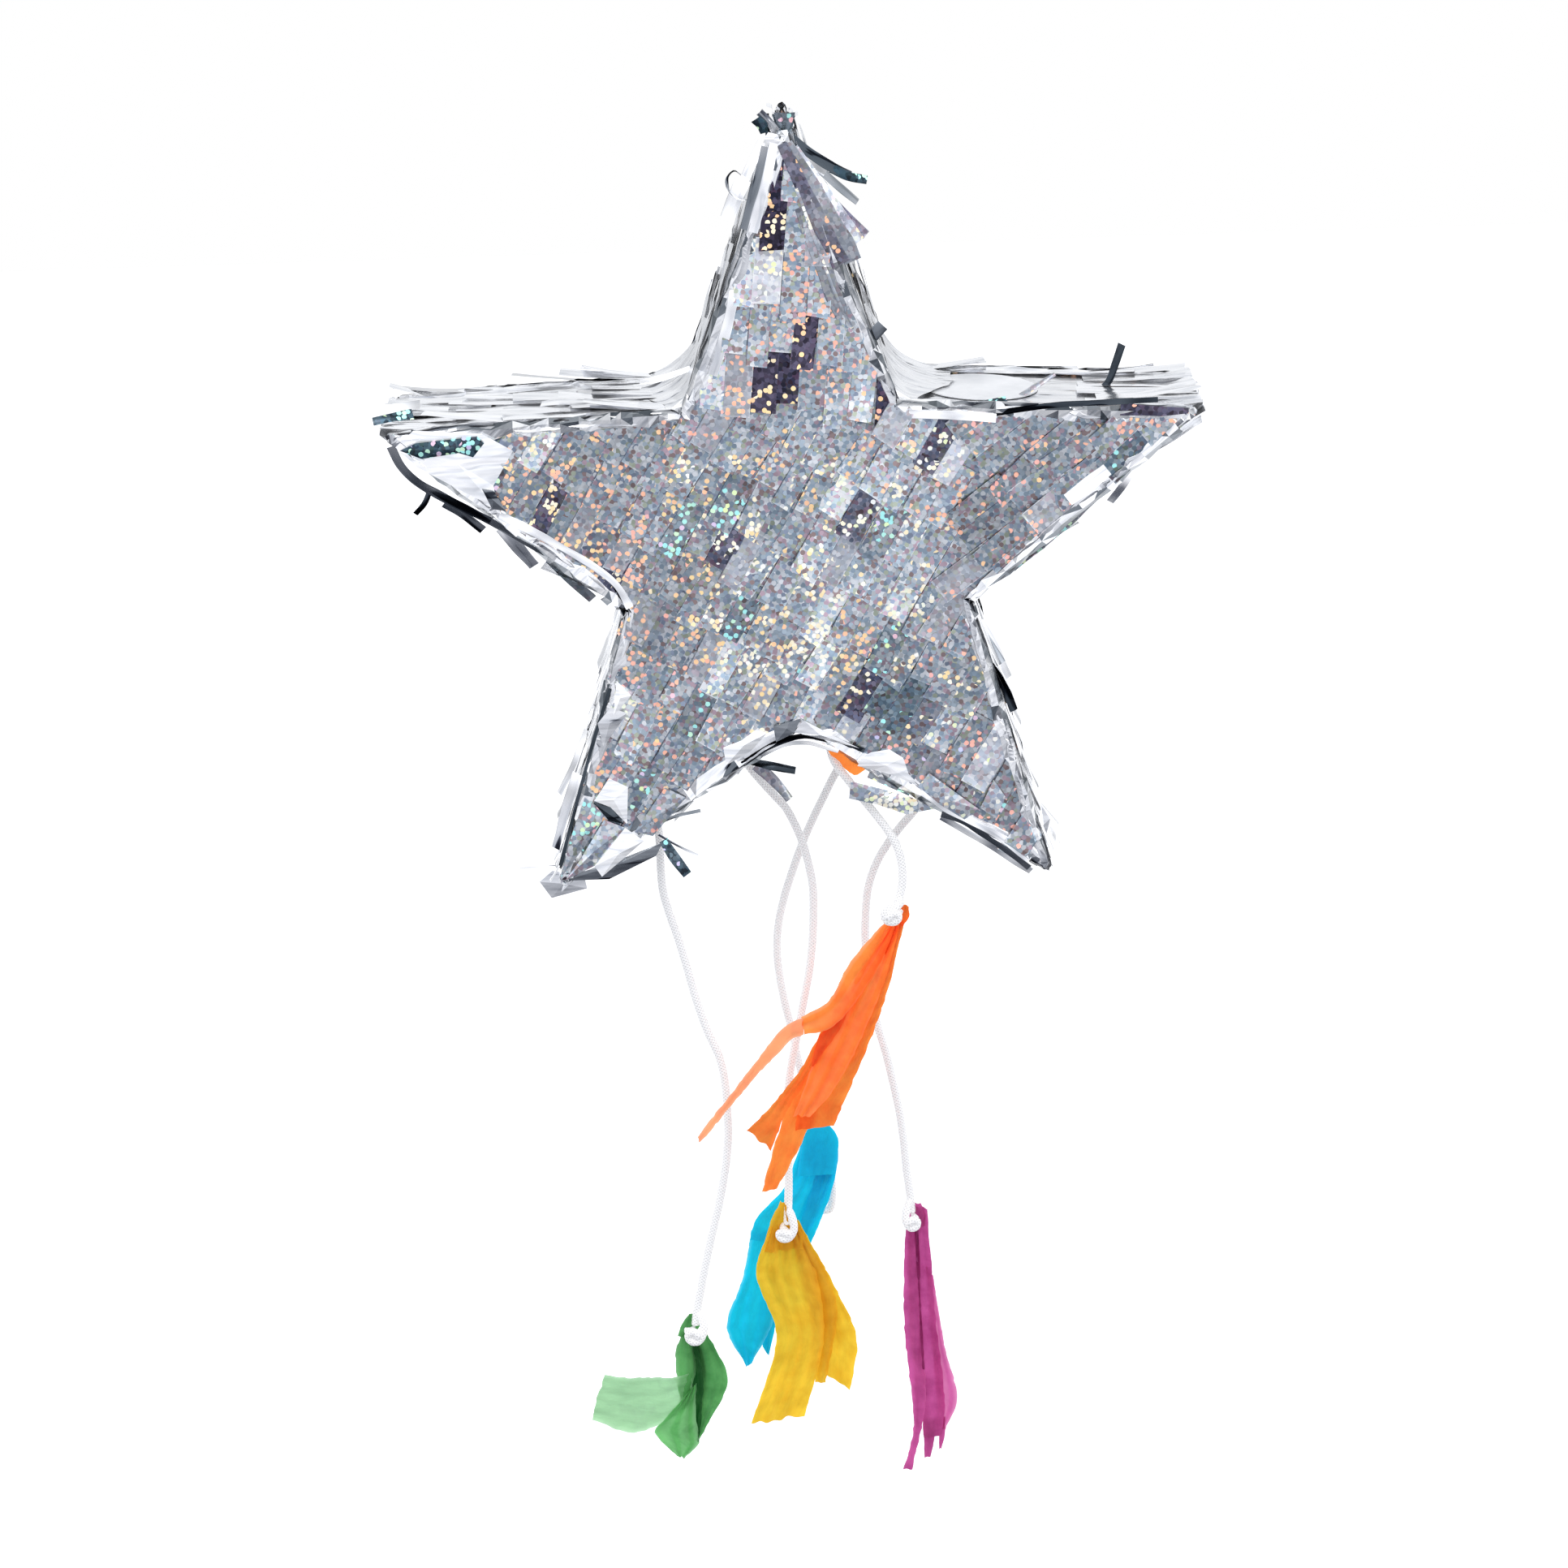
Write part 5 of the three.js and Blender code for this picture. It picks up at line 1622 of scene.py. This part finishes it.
def paint_cad_nodes():
    """Materials for the CAD nodes that stay in sight or behind the foil."""
    card_material = card("brown_card")
    paper = coated_paper("sticker_paper")
    for name in nodes:
        if name.startswith("wall_") or name in ("front_panel", "back_panel", "trapdoor"):
            paint(name, card_material)
        elif name in ("foil_front", "foil_back"):
            paint(name, HOLO_CAD)
        elif name.startswith("foil_"):
            paint(name, MIRROR_CAD)
        elif name.startswith("stop_knot_"):
            paint(name, BRAID_CAD)
    paint("sticker", paper)


paint_cad_nodes()


# ---------------------------------------------------------------- trapdoor tissue and the top tip
SLIVER_START, SLIVER_END = 9, 37  # distances from the notch
SLIVER_FOOT = -0.4  # just outside the wall's foil
SLIVER_Y = -30.4
# The sliver's tone of 1.55 is painted light: it brightens the tissue where it hangs in shade.
SLIVER_PAINTED_LIGHT = (1.55, 0.6, 0.0)


def make_door_tissue():
    """The torn sliver of orange tissue that hangs from the trapdoor's front edge."""
    pile = Pile()
    along = np.linspace(SLIVER_START, SLIVER_END, 24)
    top = on_wall(DOOR_WALL, along, SLIVER_FOOT)
    reach = 3.5 + 6.0 * np.clip((along - SLIVER_START) / 22, 0, 1) + 0.7 * noise(along / 2.5, 0.2)
    reach = reach * np.clip((SLIVER_END + 1 - along) / 4, 0, 1)
    low = on_wall(DOOR_WALL, along, SLIVER_FOOT - np.maximum(reach, 0.4))
    v = np.linspace(0, 1, 7)
    xz = top[:, None] * (1 - v)[None, :, None] + low[:, None] * v[None, :, None]
    y = SLIVER_Y - 0.35 * noise(along[:, None] / 3, v[None] * 2)
    points = np.dstack([xz[..., 0], y, xz[..., 1]])
    flat_xy = np.stack([along[:, None] + 0 * v[None], v[None] * 6 + 0 * along[:, None]], -1)
    pile.grid(points, flat_xy, SLIVER_PAINTED_LIGHT, 4.2)
    piece = pile.build("torn_tissue_edge", "trapdoor", "tissue_orange", TISSUES["orange"], smooth=True)
    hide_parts("trapdoor_tissue")


make_door_tissue()


def stand_in_tufts():
    """The fan and the curl at the top tip, in place of their CAD plates."""
    holo = Pile(TUFT_WASH)
    ribbon(holo, [(0.2, -27.6, 0), (0.8, -27.4, 4), (1, -27.6, 8)], 4.6, FRONT, TUFT, taper=2.0, curl=0.8,
           seed=51)
    fan = holo.build("curled_fan_end", "star", "holographic_foil", HOLO)
    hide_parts("tuft_right")
    plain = Pile()
    ribbon(plain, [(-2.5, -29.6, 0.5), (-5.5, -29.4, 4.5), (-9.5, -29.8, 9)], 3.4, FRONT, PEWTER, curl=1.0,
           seed=52)
    curl = plain.build("curled_plain_end", "star", "mirror_foil", MIRROR)
    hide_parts("tuft_left")


stand_in_tufts()


# ---------------------------------------------------------------- floor, world and lights
FLOOR_Z = -1.65
FLOOR_NEAR, FLOOR_FAR, FLOOR_HALF = -0.25, 8.0, 8.0
FLOOR_GLOW = 0.35


def make_floor():
    mesh = bpy.data.meshes.new("floor")
    left, right = -FLOOR_HALF, FLOOR_HALF
    corners = [(left, FLOOR_NEAR), (right, FLOOR_NEAR), (right, FLOOR_FAR), (left, FLOOR_FAR)]
    corners = [(x, y, FLOOR_Z) for x, y in corners]
    mesh.from_pydata(corners, [], [(0, 1, 2, 3)])
    n = Nodes("floor_white")
    place_m = n.node("ShaderNodeTexCoord").outputs["Object"]
    haze = n.noise(place_m, 2.0, 2.0)[0]
    colour = n.ramp(haze, [(0.3, (0.92, 0.92, 0.925)), (0.7, (0.95, 0.95, 0.95))])
    n.set(Base_Color=colour, Roughness=0.9)
    n.put(colour, n.shader.inputs["Emission Color"])
    n.shader.inputs["Emission Strength"].default_value = FLOOR_GLOW
    mesh.materials.append(n.material)
    floor = bpy.data.objects.new("floor", mesh)
    bpy.context.scene.collection.objects.link(floor)


# The light from in front, from below to above, and the even light from behind.
FRONT_LIGHT = [(0.0, (0.10, 0.11, 0.14)), (0.40, (0.62, 0.64, 0.70)), (1.0, (1.25, 1.26, 1.3))]
BACK_LIGHT = (0.76, 0.775, 0.80, 1)
# The heights between which the light in front brightens, and where it gives way to the light behind.
HEIGHT_RANGE, DEPTH_RANGE = (-0.75, 0.55), (-0.25, 0.35)


def make_world():
    """Soft studio light all round: bright behind and above, darker below. The camera itself sees white."""
    world = bpy.data.worlds.new("studio")
    bpy.context.scene.world = world
    world.use_nodes = True
    tree = world.node_tree
    tree.nodes.clear()
    add, link = tree.nodes.new, tree.links.new
    direction = add("ShaderNodeSeparateXYZ")
    link(add("ShaderNodeTexCoord").outputs["Generated"], direction.inputs[0])

    def share(axis, ends):
        """How far a direction lies between two values of one of its parts."""
        made = add("ShaderNodeMapRange")
        made.inputs["From Min"].default_value, made.inputs["From Max"].default_value = ends
        link(direction.outputs[axis], made.inputs["Value"])
        return made.outputs[0]

    front = add("ShaderNodeValToRGB")
    fill_ramp(front.color_ramp, FRONT_LIGHT)
    link(share("Z", HEIGHT_RANGE), front.inputs[0])
    blend = add("ShaderNodeMix")
    blend.data_type = "RGBA"
    link(share("Y", DEPTH_RANGE), blend.inputs[0])
    link(front.outputs[0], blend.inputs[6])
    blend.inputs[7].default_value = BACK_LIGHT
    light = add("ShaderNodeBackground")
    link(blend.outputs[2], light.inputs["Color"])
    seen = add("ShaderNodeBackground")
    seen.inputs["Color"].default_value = (*WHITE, 1)
    pick = add("ShaderNodeMixShader")
    link(add("ShaderNodeLightPath").outputs["Is Camera Ray"], pick.inputs[0])
    link(light.outputs[0], pick.inputs[1])
    link(seen.outputs[0], pick.inputs[2])
    link(pick.outputs[0], add("ShaderNodeOutputWorld").inputs["Surface"])


def area_light(name, place_at, aim, size, power):
    data = bpy.data.lights.new(name, "AREA")
    data.shape = "RECTANGLE"
    data.size, data.size_y = size
    data.energy = power
    light = bpy.data.objects.new(name, data)
    light.location = place_at
    light.rotation_euler = (Vector(place_at) - Vector(aim)).to_track_quat("Z", "Y").to_euler()
    bpy.context.scene.collection.objects.link(light)


make_floor()
make_world()
STAR_CENTRE = (0, 0, -0.25)
# Each lamp's place, aim, size and power.
area_light("light_above", (-0.5, -0.9, 1.5), STAR_CENTRE, (1.4, 1.0), 10)
area_light("light_right", (1.7, -1.1, 0.3), STAR_CENTRE, (0.7, 1.4), 5)
area_light("light_behind", (0.2, 1.8, 0.6), STAR_CENTRE, (2.0, 1.4), 2)

scene = bpy.context.scene
scene.view_settings.view_transform = "Standard"
scene.render.film_transparent = False
